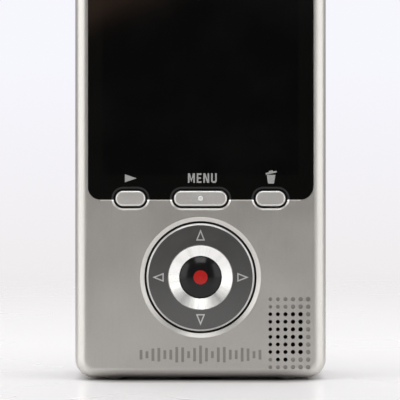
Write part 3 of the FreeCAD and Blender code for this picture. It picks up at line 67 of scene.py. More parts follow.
class Finish:
    """A procedural material: one Principled shader, and the textures that feed it."""

    def __init__(self, name, color, roughness, metallic=0.0, **sockets):
        """Other sockets of the shader are named with underscores for the spaces in their names."""
        self.material = bpy.data.materials.new(name)
        self.material.use_nodes = True
        self.material.diffuse_color = (*color, 1.0)
        self.tree = self.material.node_tree
        self.shader = self.tree.nodes["Principled BSDF"]
        self.place = self.add("ShaderNodeTexCoord").outputs["Object"]
        self.shader.inputs["Base Color"].default_value = (*color, 1.0)
        self.shader.inputs["Roughness"].default_value = roughness
        self.shader.inputs["Metallic"].default_value = metallic
        for name, value in sockets.items():
            self.shader.inputs[name.replace("_", " ")].default_value = value

    def add(self, kind, inputs=(), **settings):
        """A node in this material."""
        return add_node(self.tree, kind, inputs, **settings)

    def math(self, operation, first, second=0.0):
        """The result of a sum on one or two values."""
        return self.add("ShaderNodeMath", {0: first, 1: second}, operation=operation).outputs[0]

    def spread(self, value, low, high, to_low=0.0, to_high=1.0):
        """The value with the range low..high moved to to_low..to_high, and held there."""
        return self.add("ShaderNodeMapRange", {"Value": value, "From Min": low, "From Max": high,
                                               "To Min": to_low, "To Max": to_high}).outputs[0]

    def stretched(self, stretch):
        """The place on the piece, scaled by a factor along each axis."""
        return self.add("ShaderNodeMapping", {"Vector": self.place, "Scale": stretch}).outputs[0]

    def noise(self, size, detail=3.0, stretch=(1.0, 1.0, 1.0), harsh=0.55):
        """Cloudy noise whose lumps are about that many millimetres wide."""
        return self.add("ShaderNodeTexNoise", {
            "Vector": self.stretched(stretch), "Scale": 1.0 / (size * MM), "Detail": detail,
            "Roughness": harsh}).outputs["Fac"]

    def specks(self, spacing, size):
        """1 inside small dots scattered that many millimetres apart, and 0 outside."""
        cells = self.add("ShaderNodeTexVoronoi", {
            "Vector": self.place, "Scale": 1.0 / (spacing * MM)}).outputs["Distance"]
        return self.spread(cells, size / spacing * 0.6, size / spacing, 1.0, 0.0)

    def off_axis(self, centre, axis):
        """The part of the place that is square to an axis through the centre."""
        keep = [0.0 if name == axis else 1.0 for name in "XYZ"]
        moved = self.add("ShaderNodeVectorMath", {0: self.place, 1: centre},
                         operation="SUBTRACT").outputs[0]
        return self.add("ShaderNodeVectorMath", {0: moved, 1: keep}, operation="MULTIPLY").outputs[0]

    def radius(self, centre, axis):
        """Distance in metres from an axis through the centre."""
        flat = self.off_axis(centre, axis)
        return self.add("ShaderNodeVectorMath", {0: flat}, operation="LENGTH").outputs["Value"]

    def within(self, low, high):
        """1 inside a box given by its lowest and highest corner in mm, and 0 outside."""
        parts = self.add("ShaderNodeSeparateXYZ", {0: self.place}).outputs
        inside = 1.0
        for axis in range(3):
            for operation, limit in (("GREATER_THAN", low[axis]), ("LESS_THAN", high[axis])):
                if abs(limit) < UNLIMITED:
                    inside = self.math("MULTIPLY", self.math(operation, parts[axis], limit * MM), inside)
        return inside

    def paint(self, mix, other):
        """Blend the base colour towards another by a 0..1 value, over what is there already."""
        socket = self.shader.inputs["Base Color"]
        before = socket.links[0].from_socket if socket.is_linked else tuple(socket.default_value)
        node = self.add("ShaderNodeMix", {0: mix, 6: before, 7: (*other, 1.0)}, data_type="RGBA")
        self.tree.links.new(node.outputs[2], socket)

    def gloss(self, value, low, high):
        """Vary the roughness between low and high with a noise."""
        self.tree.links.new(self.spread(value, 0.25, 0.75, low, high), self.shader.inputs["Roughness"])

    def relief(self, height, depth):
        """Bump of that depth in millimetres, on top of what is there already."""
        socket = self.shader.inputs["Normal"]
        inputs = {"Height": height, "Distance": depth * MM, "Strength": 1.0}
        if socket.is_linked:
            inputs["Normal"] = socket.links[0].from_socket
        bump = self.add("ShaderNodeBump", inputs)
        self.tree.links.new(bump.outputs[0], socket)

    def rays(self, centre, axis, count):
        """Noise that changes only with the angle round an axis, as light does on spun metal."""
        flat = self.off_axis(centre, axis)
        unit = self.add("ShaderNodeVectorMath", {0: flat}, operation="NORMALIZE").outputs[0]
        return self.add("ShaderNodeTexNoise", {"Vector": unit, "Scale": count, "Detail": 3.0,
                                               "Roughness": 0.6}).outputs["Fac"]

    def tool_marks(self, centre, axis, pitch):
        """Uneven rings round an axis, as 0..1, about that many millimetres apart."""
        away = self.math("MULTIPLY", self.radius(centre, axis), 1.0 / (pitch * MM))
        return self.add("ShaderNodeTexNoise", {"W": away, "Scale": 1.0, "Detail": 3.0},
                        noise_dimensions="1D").outputs["Fac"]

    def turned(self, centre, axis, pitch, depth):
        """Relief of fine circular tool marks round an axis."""
        self.relief(self.tool_marks(centre, axis, pitch), depth)

    def use(self, *names):
        """Put this finish on CAD nodes."""
        for name in names:
            mesh = nodes[name].data
            mesh.materials.clear()
            mesh.materials.append(self.material)


def middle_of(node):
    """The centre of a CAD node's box, in metres."""
    low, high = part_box(node)
    return (low + high) / 2


BARE_PLASTIC = (0.014, 0.014, 0.0145)
LACQUER_METAL = 0.88                               # how metallic the flake makes the lacquer


def silver(name, color, roughness, bare=(), pressed=(), painted_highlight_edges=()):
    """Satin silver lacquer over black plastic: fine flake, a faint drawn grain and a few specks.

    The lacquer is sprayed on from outside. Each bare box, as its lowest and highest corner in mm, is a
    region of hole walls and inner faces that it doesn't reach. A pressed box gets painted shade: its
    colour is darkened in the marks pressed into the face. Along an edge box the colour is lightened, a
    painted highlight on the bevel there.
    """
    made = Finish(name, color, roughness)
    light = [min(1.0, part * 1.10) for part in color]
    dark = [part * 0.90 for part in color]
    flake = made.noise(0.16, 4.0)
    made.paint(made.spread(flake, 0.52, 0.78, 0.0, 0.8), light)
    made.paint(made.spread(flake, 0.48, 0.22, 0.0, 0.8), dark)
    drawn = made.noise(0.22, 2.0, (1.0, 1.0, 0.03))
    made.paint(made.spread(drawn, 0.45, 0.25, 0.0, 0.35), dark)
    made.paint(made.specks(7.5, 0.09), [part * 1.35 for part in color])
    made.gloss(made.noise(9.0), roughness - 0.04, roughness + 0.06)
    made.relief(flake, 0.006)
    made.relief(drawn, 0.003)
    # painted shade: each pressed box darkens the colour, standing in for the shade in the marks pressed
    # into the face
    for low, high in pressed:
        made.paint(made.math("MULTIPLY", made.within(low, high), 0.9), [part * 0.60 for part in color])
    # painted highlight: each edge box lightens the colour, standing in for the light that a bevel there
    # reflects
    for low, high in painted_highlight_edges:
        made.paint(made.within(low, high), [min(0.97, part * 1.68) for part in color])
    sprayed = 1.0
    for low, high in bare:
        sprayed = made.math("MULTIPLY", made.math("SUBTRACT", 1.0, made.within(low, high)), sprayed)
    if bare:
        made.paint(made.math("SUBTRACT", 1.0, sprayed), BARE_PLASTIC)
        made.tree.links.new(made.math("MULTIPLY", sprayed, LACQUER_METAL),
                            made.shader.inputs["Metallic"])
    else:
        made.shader.inputs["Metallic"].default_value = LACQUER_METAL
    return made


def moulded(name, color, roughness, grain=0.12, depth=0.01):
    """Moulded plastic or rubber with a fine spark texture and slight mottling."""
    made = Finish(name, color, roughness)
    texture = made.noise(grain, 3.0)
    made.paint(made.spread(made.noise(3.0), 0.3, 0.7, 0.0, 0.5), [part * 1.3 + 0.004 for part in color])
    made.gloss(texture, roughness - 0.05, roughness + 0.08)
    made.relief(texture, depth)
    return made


def brushed(name, color, roughness, stretch, size=0.05):
    """Bare metal with fine straight brush marks, drawn out along one axis."""
    made = Finish(name, color, roughness, 1.0)
    marks = made.noise(size, 4.0, stretch, 0.7)
    made.paint(made.spread(marks, 0.3, 0.7, 0.0, 0.5), [part * 0.72 for part in color])
    made.gloss(marks, roughness - 0.08, roughness + 0.12)
    made.relief(marks, 0.003)
    return made


front_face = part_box("front_shell")[0].y / MM
rear_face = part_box("rear_shell")[1].y / MM
LACQUER = (0.57, 0.555, 0.525)
silver("silver_lacquer_front", LACQUER, 0.33, [
    ((-22.3, front_face + 0.42, 3.0), (22.3, 0.0, 96.0)),
    ((-22.35, front_face + 0.22, 35.0), (22.35, 0.0, 95.0)),
    ((-23.9, front_face + 1.2, 2.0), (23.9, 1.0, 97.0))], [
    # pressed boxes, painted shade in the marks pressed into the lower face
    ((-13.0, front_face + 0.05, 3.0), (12.9, 0.0, 8.0)),
    ((13.0, front_face + 0.15, 2.0), (22.2, 0.0, 17.0))], [
    # edge box, painted highlight along the bevel under the display window
    ((-19.9, -UNLIMITED, 35.6), (19.9, front_face + 0.21, 35.88))]).use("front_shell")
silver("silver_lacquer_rear", LACQUER, 0.33, [
    ((-20.9, -1.0, 2.6), (20.9, rear_face - 1.25, 96.0))]).use("rear_shell")
silver("silver_lacquer_cover", LACQUER, 0.34, [
    ((-17.0, 0.0, 5.95), (17.0, rear_face - 0.9, 63.0))]).use("battery_cover")
silver("silver_lacquer_card_door", LACQUER, 0.34, [
    ((-30.0, -9.2, 24.8), (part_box("card_door")[1].x / MM - 0.9, 0.0, 51.2))]).use("card_door")
silver("silver_lacquer_port_cover", LACQUER, 0.34, [
    ((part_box("port_cover")[0].x / MM + 0.9, -9.2, 31.7), (30.0, 0.0, 50.3))]).use("port_cover")
silver("silver_keys", (0.66, 0.65, 0.62), 0.40, [
    ((-30.0, front_face + 0.1, 0.0), (30.0, 0.0, 60.0))]).use(
    "play_button", "menu_button", "delete_button")

pane = Finish("window_acrylic", (0.0024, 0.0024, 0.0022), 0.04, Specular_IOR_Level=0.32)
panel_low, panel_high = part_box("lcd_panel")
across = pane.add("ShaderNodeSeparateXYZ", {0: pane.place})
inside = [
    pane.spread(across.outputs[0], panel_low.x, panel_low.x + 0.3 * MM),
    pane.spread(across.outputs[0], panel_high.x, panel_high.x - 0.3 * MM),
    pane.spread(across.outputs[2], panel_low.z, panel_low.z + 0.3 * MM)]
picture = pane.math("MULTIPLY", pane.math("MULTIPLY", inside[0], inside[1]), inside[2])
pane.paint(picture, (0.0012, 0.0013, 0.0014))
pane.paint(pane.spread(pane.noise(14.0, 2.0), 0.45, 0.7, 0.0, 0.5), (0.0045, 0.0042, 0.004))
dust = pane.math("MULTIPLY", pane.specks(4.2, 0.10), pane.spread(pane.noise(9.0), 0.5, 0.6))
pane.paint(dust, (0.10, 0.10, 0.10))
pane.gloss(pane.noise(11.0, 4.0), 0.02, 0.06)
pane.use("display_window")

liquid_crystal = Finish("display_panel", (0.02, 0.021, 0.026), 0.2)
grid = liquid_crystal.add("ShaderNodeTexBrick", {
    "Vector": liquid_crystal.place, "Color1": (0.03, 0.03, 0.04, 1), "Color2": (0.022, 0.024, 0.03, 1),
    "Mortar": (0.004, 0.004, 0.004, 1), "Scale": 1.0 / (2.4 * MM), "Mortar Size": 0.05})
liquid_crystal.tree.links.new(grid.outputs["Color"], liquid_crystal.shader.inputs["Base Color"])
liquid_crystal.gloss(liquid_crystal.noise(2.0), 0.15, 0.3)
liquid_crystal.use("lcd_panel")

pad_centre = middle_of("direction_pad")
gunmetal = Finish("pad_gunmetal", (0.115, 0.115, 0.113), 0.3, 0.75, Coat_Weight=0.1,
                  Coat_Roughness=0.2)
gunmetal.paint(gunmetal.spread(gunmetal.noise(0.14, 4.0), 0.35, 0.7, 0.0, 0.6), (0.16, 0.16, 0.158))
gunmetal.gloss(gunmetal.noise(3.0), 0.27, 0.35)
gunmetal.relief(gunmetal.noise(0.14), 0.004)
bevel = gunmetal.spread(gunmetal.radius(pad_centre, "Y"), 10.33 * MM, 10.39 * MM)
gunmetal.paint(bevel, (0.72, 0.72, 0.71))
side_wall = gunmetal.within((-UNLIMITED, front_face + 0.25, -UNLIMITED),
                            (UNLIMITED, UNLIMITED, UNLIMITED))
gunmetal.paint(side_wall, BARE_PLASTIC)
gunmetal.use("direction_pad")

spun = Finish("pad_ring_spun", (0.86, 0.85, 0.825), 0.22, 1.0, Anisotropic=0.7)
spun.tree.links.new(spun.add("ShaderNodeTangent", direction_type="RADIAL", axis="Y").outputs[0],
                    spun.shader.inputs["Tangent"])
rays = spun.rays(pad_centre, "Y", 4.0)
# painted reflection: darker sectors round the ring stand in for the streaks of light that spun metal
# reflects
spun.paint(spun.spread(rays, 0.42, 0.68, 0.0, 0.9), (0.62, 0.61, 0.57))
spun.paint(spun.tool_marks(pad_centre, "Y", 0.2), (0.80, 0.80, 0.79))
spun.gloss(rays, 0.16, 0.30)
spun.use("pad_ring")

record_gloss = Finish("record_black", (0.006, 0.006, 0.006), 0.14, Specular_IOR_Level=0.3)
record_gloss.paint(record_gloss.specks(1.7, 0.05), (0.05, 0.05, 0.05))
record_gloss.gloss(record_gloss.noise(2.5), 0.12, 0.18)
record_gloss.use("record_button")

red = Finish("record_red", (0.40, 0.007, 0.005), 0.36, Specular_IOR_Level=0.35)
red.paint(red.spread(red.noise(0.5), 0.35, 0.7, 0.0, 0.6), (0.34, 0.008, 0.006))
red.relief(red.noise(0.25), 0.006)
red.use("record_dot")

moulded("black_moulding", (0.022, 0.022, 0.023), 0.48).use(
    "lcd_frame", "speaker_frame", "battery_tray", "card_socket", "pad_carrier", "pad_gimbal",
    "mic_holder")
moulded("control_plastic", (0.028, 0.028, 0.029), 0.42, 0.2, 0.012).use(
    "power_switch", "mic_gain_switch", "volume_rocker", "power_switch_base", "gain_switch_base")
moulded("dark_rubber", (0.035, 0.034, 0.033), 0.72, 0.25, 0.02).use("keypad_membrane")
moulded("grey_rubber", (0.33, 0.32, 0.305), 0.6, 0.25, 0.015).use("feet")
moulded("chip_epoxy", (0.018, 0.018, 0.019), 0.55, 0.1, 0.01).use("board_chips")
moulded("cone_film", (0.045, 0.043, 0.04), 0.4, 0.6, 0.03).use("speaker_cone")
moulded("card_shell", (0.028, 0.045, 0.12), 0.4, 0.15, 0.01).use("memory_card")

STRAIGHT_X = (0.02, 1.0, 1.0)                      # brush marks drawn out along X
STRAIGHT_Y = (1.0, 0.05, 1.0)
STRAIGHT_Z = (1.0, 1.0, 0.02)
brushed("bright_steel", (0.62, 0.62, 0.61), 0.28, STRAIGHT_Z).use(
    "card_door_pin", "port_cover_pin", "cover_pin", "rocker_pin", "usb_socket")
brushed("nickel_plate", (0.72, 0.70, 0.66), 0.24, STRAIGHT_X).use(
    "battery_contacts", "battery_springs", "dome_switches")
brushed("screw_steel", (0.50, 0.49, 0.48), 0.3, (1.0, 1.0, 1.0), 0.3).use("case_screws")
moulded("socket_plastic", (0.018, 0.018, 0.019), 0.4, 0.15, 0.008).use(
    "headphone_jack", "line_in_jack", "av_socket", "volume_switches")

bush = Finish("turned_brass", (0.66, 0.52, 0.27), 0.26, 1.0)
bush.turned(middle_of("tripod_bush"), "Z", 0.18, 0.01)
bush.paint(bush.spread(bush.noise(1.5), 0.4, 0.75, 0.0, 0.6), (0.42, 0.30, 0.15))
bush.gloss(bush.noise(0.6), 0.2, 0.38)
bush.use("tripod_bush")

board = Finish("solder_mask", (0.012, 0.10, 0.045), 0.35, Coat_Weight=0.3, Coat_Roughness=0.15)
tracks = board.add("ShaderNodeTexBrick", {
    "Vector": board.add("ShaderNodeMapping", {
        "Vector": board.place, "Rotation": (math.pi / 2, 0.0, 0.0)}).outputs[0],
    "Color1": (1, 1, 1, 1), "Color2": (0.6, 0.6, 0.6, 1), "Mortar": (0, 0, 0, 1),
    "Scale": 1.0 / (1.6 * MM), "Mortar Size": 0.06}, offset=0.37)
board.paint(board.math("SUBTRACT", 1.0, tracks.outputs["Fac"]), (0.02, 0.16, 0.07))
board.paint(board.specks(2.4, 0.32), (0.55, 0.50, 0.36))
board.relief(tracks.outputs["Fac"], 0.02)
board.gloss(board.noise(1.0), 0.3, 0.42)
board.use("main_board", "key_board", "sensor_board")

cloth = Finish("dust_cloth", (0.008, 0.008, 0.008), 0.85, Sheen_Weight=0.2)
threads = [cloth.math("ABSOLUTE", cloth.math("SINE", cloth.math(
    "MULTIPLY", cloth.add("ShaderNodeSeparateXYZ", {0: cloth.place}).outputs[axis],
    math.pi / (0.12 * MM)))) for axis in (0, 2)]
weave = cloth.math("MULTIPLY", threads[0], threads[1])
cloth.paint(weave, (0.022, 0.022, 0.023))
cloth.relief(weave, 0.03)
cloth.use("speaker_cloth")

cell = Finish("cell_jacket", (0.03, 0.031, 0.036), 0.3, Coat_Weight=0.5, Coat_Roughness=0.12)
cell_low, cell_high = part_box("battery_left")
height = cell.add("ShaderNodeSeparateXYZ", {0: cell.place}).outputs[2]
for low, high, tint in ((0.0, 0.006, (0.70, 0.70, 0.68)), (0.78, 0.97, (0.62, 0.36, 0.08)),
                        (0.97, 1.2, (0.70, 0.70, 0.68))):
    start = cell_low.z + (cell_high.z - cell_low.z) * low
    end = cell_low.z + (cell_high.z - cell_low.z) * high
    band = cell.math("MULTIPLY", cell.math("GREATER_THAN", height, start),
                     cell.math("LESS_THAN", height, end))
    cell.paint(band, tint)
cell.paint(cell.math("MULTIPLY", cell.noise(0.8), 0.15), (0.2, 0.2, 0.2))
cell.gloss(cell.noise(2.0), 0.24, 0.36)
cell.use("battery_left", "battery_right")

brushed("head_frame", (0.52, 0.51, 0.495), 0.3, STRAIGHT_Y, 0.06).use("mic_frame")
moulded("head_base", (0.024, 0.024, 0.025), 0.38, 0.18, 0.01).use("mic_base")
capsule = Finish("capsule_can", (0.42, 0.42, 0.42), 0.3, 1.0)
capsule.paint(capsule.specks(0.9, 0.22), (0.02, 0.02, 0.02))
capsule.gloss(capsule.noise(0.5), 0.24, 0.4)
capsule.relief(capsule.noise(0.2), 0.006)
capsule.use("mic_capsule_left", "mic_capsule_right")

lens_centre = middle_of("lens_bezel")
bezel = Finish("lens_bezel", (0.02, 0.02, 0.021), 0.22, Coat_Weight=0.3, Coat_Roughness=0.1)
bezel.turned(lens_centre, "Y", 0.22, 0.012)
bezel.paint(bezel.spread(bezel.noise(2.0), 0.35, 0.7, 0.0, 0.5), (0.035, 0.035, 0.036))
bezel.gloss(bezel.noise(1.2), 0.18, 0.3)
bezel.use("lens_bezel")
barrel = Finish("lens_barrel", (0.012, 0.012, 0.013), 0.4)
barrel.turned(lens_centre, "Y", 0.4, 0.05)
barrel.gloss(barrel.noise(0.8), 0.32, 0.48)
barrel.paint(barrel.spread(barrel.noise(1.0), 0.4, 0.7, 0.0, 0.5), (0.022, 0.022, 0.023))
barrel.use("lens_barrel")

coated = Finish("lens_glass", (0.010, 0.010, 0.018), 0.03, Coat_Weight=1.0, Coat_Roughness=0.02,
                Specular_IOR_Level=0.7)
away = coated.radius(lens_centre, "Y")
coated.paint(coated.spread(away, 3.6 * MM, 0.8 * MM), (0.03, 0.012, 0.05))
coated.paint(coated.spread(away, 1.5 * MM, 1.2 * MM), (0.002, 0.002, 0.003))
coated.gloss(coated.noise(2.0), 0.02, 0.05)
coated.use("lens_glass")


# ---------------------------------------------------------------- building pieces

def piece(name, points, faces, material, body, slot=None, smooth=False):
    """A mesh piece that rides on a body. Points are in metres, in the frame of the recorder."""
    mesh = bpy.data.meshes.new(name)
    mesh.from_pydata(points, [], faces)
    mesh.validate()
    work = bmesh.new()
    work.from_mesh(mesh)
    bmesh.ops.recalc_face_normals(work, faces=work.faces)
    work.to_mesh(mesh)
    work.free()
    mesh.polygons.foreach_set("use_smooth", [smooth] * len(mesh.polygons))
    mesh.materials.append(material)
    made = bpy.data.objects.new(name, mesh)
    bpy.context.scene.collection.objects.link(made)
    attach(made, body)
    return made


def raised(outlines, front, back):
    """Flat shapes in the XZ plane as thin plates between two surfaces y = front(x, z) and back(x, z)."""
    points, faces = [], []
    for outline in outlines:
        first, count = len(points), len(outline)
        points += [(x * MM, front(x, z) * MM, z * MM) for x, z in outline]
        points += [(x * MM, back(x, z) * MM, z * MM) for x, z in outline]
        faces.append([first + i for i in range(count)])
        faces.append([first + count + i for i in reversed(range(count))])
        for i in range(count):
            j = (i + 1) % count
            faces.append([first + i, first + count + i, first + count + j, first + j])
    return points, faces


def around(centre, radius, start, end, steps):
    """Points along an arc, with its angles in degrees."""
    return [(centre[0] + radius * math.cos(math.radians(start + (end - start) * i / steps)),
             centre[1] + radius * math.sin(math.radians(start + (end - start) * i / steps)))
            for i in range(steps + 1)]


def turned_by(outline, centre, degrees):
    """An outline turned about its own origin and then moved to the centre."""
    c, s = math.cos(math.radians(degrees)), math.sin(math.radians(degrees))
    return [(centre[0] + x * c - z * s, centre[1] + x * s + z * c) for x, z in outline]


# ---------------------------------------------------------------- print on the display window

PRINT = 0.015                                      # thickness of the ink, in mm
SUNK = 0.05                                        # how far print and marks reach into their surface
window_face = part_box("display_window")[0].y / MM
ink = Finish("window_print", (0.33, 0.33, 0.32), 0.5, Specular_IOR_Level=0.3)
ink.paint(ink.spread(ink.noise(0.12), 0.35, 0.7, 0.0, 0.6), (0.26, 0.26, 0.252))
ink.relief(ink.noise(0.1), 0.004)


def letters(left, bottom, tall, stroke):
    """The word on the middle key's label, as plain upright capitals."""
    s, h = stroke, tall
    m_wide, e_wide, n_wide, u_wide, apart = 1.38, 0.92, 1.16, 1.12, 0.38
    m = [(0, 0), (0, h), (1.25 * s, h), (m_wide / 2, 0.38 * h), (m_wide - 1.25 * s, h), (m_wide, h),
         (m_wide, 0), (m_wide - s, 0), (m_wide - s, 0.62 * h), (m_wide / 2, 0.08 * h),
         (s, 0.62 * h), (s, 0)]
    e = [(0, 0), (0, h), (e_wide, h), (e_wide, h - s), (s, h - s), (s, (h + s) / 2),
         (0.9 * e_wide, (h + s) / 2), (0.9 * e_wide, (h - s) / 2), (s, (h - s) / 2), (s, s),
         (e_wide, s), (e_wide, 0)]
    n = [(0, 0), (0, h), (1.25 * s, h), (n_wide - s, 0.36 * h), (n_wide - s, h), (n_wide, h),
         (n_wide, 0), (n_wide - 1.25 * s, 0), (s, 0.64 * h), (s, 0)]
    bend, inner = 0.45, 0.45 - 0.75 * s
    u = ([(0, h)] + around((bend, bend), bend, 180, 270, 6)
         + around((u_wide - bend, bend), bend, 270, 360, 6) + [(u_wide, h), (u_wide - s, h)]
         + around((u_wide - s - inner, s + inner), inner, 360, 270, 6)
         + around((s + inner, s + inner), inner, 270, 180, 6) + [(s, h)])
    placed, x = [], left
    for shape, width in ((m, m_wide), (e, e_wide), (n, n_wide), (u, u_wide)):
        placed.append([(x + px, bottom + pz) for px, pz in shape])
        x += width + apart
    return placed


def flat_on_window(name, outlines):
    """Ink in those outlines on the window, sunk a little into it at the back."""
    points, faces = raised(outlines, lambda x, z: window_face - PRINT, lambda x, z: window_face + SUNK)
    return piece(name, points, faces, ink.material, "case")


flat_on_window("label_play", [[(-15.0, 39.32), (-15.0, 40.9), (-12.68, 40.11)]])
flat_on_window("label_menu", letters(-2.5, 39.2, 1.9, 0.32))
can = ([(-0.86, 1.75)] + around((-0.42, 0.2), 0.2, 180, 270, 4) + around((0.42, 0.2), 0.2, 270, 360, 4)
       + [(0.86, 1.75)])
lid = [(-1.1, -0.17), (1.1, -0.17), (1.1, 0.17), (0.45, 0.17), (0.38, 0.42), (-0.38, 0.42),
       (-0.45, 0.17), (-1.1, 0.17)]
flat_on_window("label_delete", [[(14.0 + x, 39.05 + z) for x, z in can],
                                turned_by(lid, (14.02, 41.22), 12)])


# ---------------------------------------------------------------- raised dot on the middle key

PIP_RADIUS, PIP_TALL = 0.52, 0.09                  # in mm, on top of the key's moulded pip
PIP_ROOT = 0.06                                    # how far it reaches below the top of that pip
PIP_RINGS, PIP_SIDES = 6, 28


def bead_points(key):
    """A low dome in the middle of a key, as rings round its crown."""
    low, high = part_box(key)
    middle = ((low.x + high.x) / 2 / MM, (low.z + high.z) / 2 / MM)
    points = [(middle[0] * MM, low.y - PIP_TALL * MM, middle[1] * MM)]
    for ring in range(1, PIP_RINGS + 1):
        tilt = math.pi / 2 * ring / PIP_RINGS
        depth = low.y + (PIP_ROOT - (PIP_TALL + PIP_ROOT) * math.cos(tilt)) * MM
        circle = around(middle, PIP_RADIUS * math.sin(tilt), 0, 360, PIP_SIDES)[:-1]
        points += [(x * MM, depth, z * MM) for x, z in circle]
    faces = [[0, 1 + (k + 1) % PIP_SIDES, 1 + k] for k in range(PIP_SIDES)]
    for ring in range(PIP_RINGS - 1):
        for k in range(PIP_SIDES):
            a, b = 1 + ring * PIP_SIDES + k, 1 + ring * PIP_SIDES + (k + 1) % PIP_SIDES
            faces.append([a, b, b + PIP_SIDES, a + PIP_SIDES])
    faces.append([1 + (PIP_RINGS - 1) * PIP_SIDES + k for k in range(PIP_SIDES)])
    return points, faces


bead = Finish("key_bead", (0.85, 0.845, 0.83), 0.3, 0.4)
bead.paint(bead.spread(bead.noise(0.15), 0.35, 0.7, 0.0, 0.5), (0.72, 0.715, 0.70))
bead.gloss(bead.noise(0.2), 0.24, 0.36)
piece("menu_pip", *bead_points("menu_button"), bead.material, "menu_key", "key_silver", smooth=True)


# ---------------------------------------------------------------- arrows on the direction pad

pad_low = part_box("direction_pad")[0]
ring_low, ring_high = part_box("pad_ring")
PAD_FACE_RADIUS = 10.35                            # outer end of the pad's sloping face, in mm
RING_RADIUS = (ring_high.x - ring_low.x) / 2 / MM
FACE_AT_RIM = front_face - 0.12                    # depth of the face at its outer end
FACE_AT_RING = pad_low.y / MM
MARK = 0.025                                       # height of the arrows over the face


def pad_face(x, z):
    """Depth of the pad's conical face at a point of it."""
    away = math.hypot(x - pad_centre.x / MM, z - pad_centre.z / MM)
    share = (away - RING_RADIUS) / (PAD_FACE_RADIUS - RING_RADIUS)
    return FACE_AT_RING + (FACE_AT_RIM - FACE_AT_RING) * share


def arrow(direction):
    """A hollow triangle that points away from the middle of the pad, as strips of thin plate."""
    tip, base, half, stroke = 9.55, 7.3, 0.9, 0.24
    steps = 4                                      # plates along each side, to follow the cone
    lean = math.atan2(half, tip - base)
    inner_tip = tip - stroke / math.sin(lean)
    inner_base = base + stroke
    inner_half = (inner_tip - inner_base) * math.tan(lean)
    outer = [(base, -half), (tip, 0.0), (base, half)]
    inner = [(inner_base, -inner_half), (inner_tip, 0.0), (inner_base, inner_half)]
    strips = []
    for i in range(3):
        j = (i + 1) % 3
        edge = [[(a[0] + (b[0] - a[0]) * k / steps, a[1] + (b[1] - a[1]) * k / steps)
                 for k in range(steps + 1)] for a, b in ((outer[i], outer[j]), (inner[i], inner[j]))]
        for k in range(steps):
            strips.append([edge[0][k], edge[0][k + 1], edge[1][k + 1], edge[1][k]])
    middle = (pad_centre.x / MM, pad_centre.z / MM)
    return [turned_by(strip, middle, direction) for strip in strips]


mark = Finish("pad_marks", (0.62, 0.62, 0.61), 0.34, 0.6)
mark.paint(mark.spread(mark.noise(0.15), 0.35, 0.7, 0.0, 0.6), (0.5, 0.5, 0.49))
mark.relief(mark.noise(0.1), 0.004)
strips = [strip for turn in (0, 90, 180, 270) for strip in arrow(turn)]
points, faces = raised(strips, lambda x, z: pad_face(x, z) - MARK, lambda x, z: pad_face(x, z) + SUNK)
piece("pad_arrows", points, faces, mark.material, "pad", "pad_ring_metal")


# ---------------------------------------------------------------- woven microphone heads

PITCH = 0.95                                       # spacing of the wires, in mm
WIRE = 0.17                                        # radius of a wire
SAMPLES = 3                                        # rings of a wire from one crossing to the next
CORNER = 13.7                                      # corner radius of the head, seen from the front
ROUND = 6.5                                        # rounding from its face into its sides
RIM_DEPTH = 0.4                                    # how far the rim reaches past the straight sides
RIM_THICK = 0.4
FOOT_TALL, FOOT_THICK = 1.0, 0.45                  # of the band along the foot of the head
FOOT_START = 0.5                                   # gap between that band and the back of the head
SWING = 0.95                                       # how far a wire swings either way, in wire radii
WEAVE_DEPTH = 2.1                                  # middle of the weave under the outline, in wire radii
PROBE = 0.05                                       # step that finds the slope of the sheet, in mm

head_low, head_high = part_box("mic_grille_front")
HALF = head_high.x / MM
TOP = head_high.z / MM
BOTTOM = head_low.z / MM + 0.05
DEPTH = -head_low.y / MM
BACK = -head_high.y / MM
CROWN = DEPTH - ROUND                              # depth where the straight sides end


def inset(x, z):
    """Distance from a point to the outline of the head, inwards."""
    over_x, over_z = abs(x) - (HALF - CORNER), z - (TOP - CORNER)
    if over_x > 0 and over_z > 0:
        return CORNER - math.hypot(over_x, over_z)
    return min(HALF - abs(x), TOP - z)


def unrolled(along, straight):
    """Position across the head of a point that far along the sheet from the end of the flat part."""
    if along <= straight:
        return along
    return straight + ROUND * math.sin(min(math.pi / 2, (along - straight) / ROUND))


def on_head(u, s):
    """Point of the pressed sheet for its own two coordinates, or None past its trimmed edge."""
    x = math.copysign(unrolled(abs(u), HALF - ROUND), u)
    z = BOTTOM + unrolled(s, TOP - ROUND - BOTTOM)
    d = inset(x, z)
    if d < 0.0:
        return None
    shift = min(d, ROUND)
    depth = CROWN + math.sqrt(max(0.0, ROUND ** 2 - (ROUND - shift) ** 2))
    return Vector((x, -depth, z))


def trimmed(path):
    """The points of a path that are on the sheet, with its ends found to a hundredth of a step."""
    on_sheet = [number for number, (at, u, s) in enumerate(path) if at is not None]
    if not on_sheet:
        return []
    first, last = on_sheet[0], on_sheet[-1]
    kept = [path[i] for i in range(first, last + 1) if path[i][0] is not None]
    for outside, inside_index, at_start in ((first - 1, first, True), (last + 1, last, False)):
        if 0 <= outside < len(path):
            good, bad = path[inside_index], path[outside]
            for _ in range(7):
                half = [(good[1] + bad[1]) / 2, (good[2] + bad[2]) / 2]
                tried = on_head(*half)
                if tried is None:
                    bad = (None, *half)
                else:
                    good = (tried, *half)
            kept = [good] + kept if at_start else kept + [good]
    return kept


def tube(path, radius, points, faces, sides=6):
    """Adds a round wire along a path of (point, normal) to a mesh under construction."""
    first = len(points)
    for number, (at, normal) in enumerate(path):
        before, after = path[max(0, number - 1)][0], path[min(len(path) - 1, number + 1)][0]
        across_wire = (after - before).normalized().cross(normal).normalized()
        for side in range(sides):
            angle = 2 * math.pi * side / sides
            spot = at + normal * (radius * math.cos(angle)) + across_wire * (radius * math.sin(angle))
            points.append(spot * MM)
    for ring in range(len(path) - 1):
        for side in range(sides):
            a, b = first + ring * sides + side, first + ring * sides + (side + 1) % sides
            faces.append([a, b, b + sides, a + sides])
    faces.append([first + side for side in range(sides)])
    faces.append([first + (len(path) - 1) * sides + side for side in reversed(range(sides))])


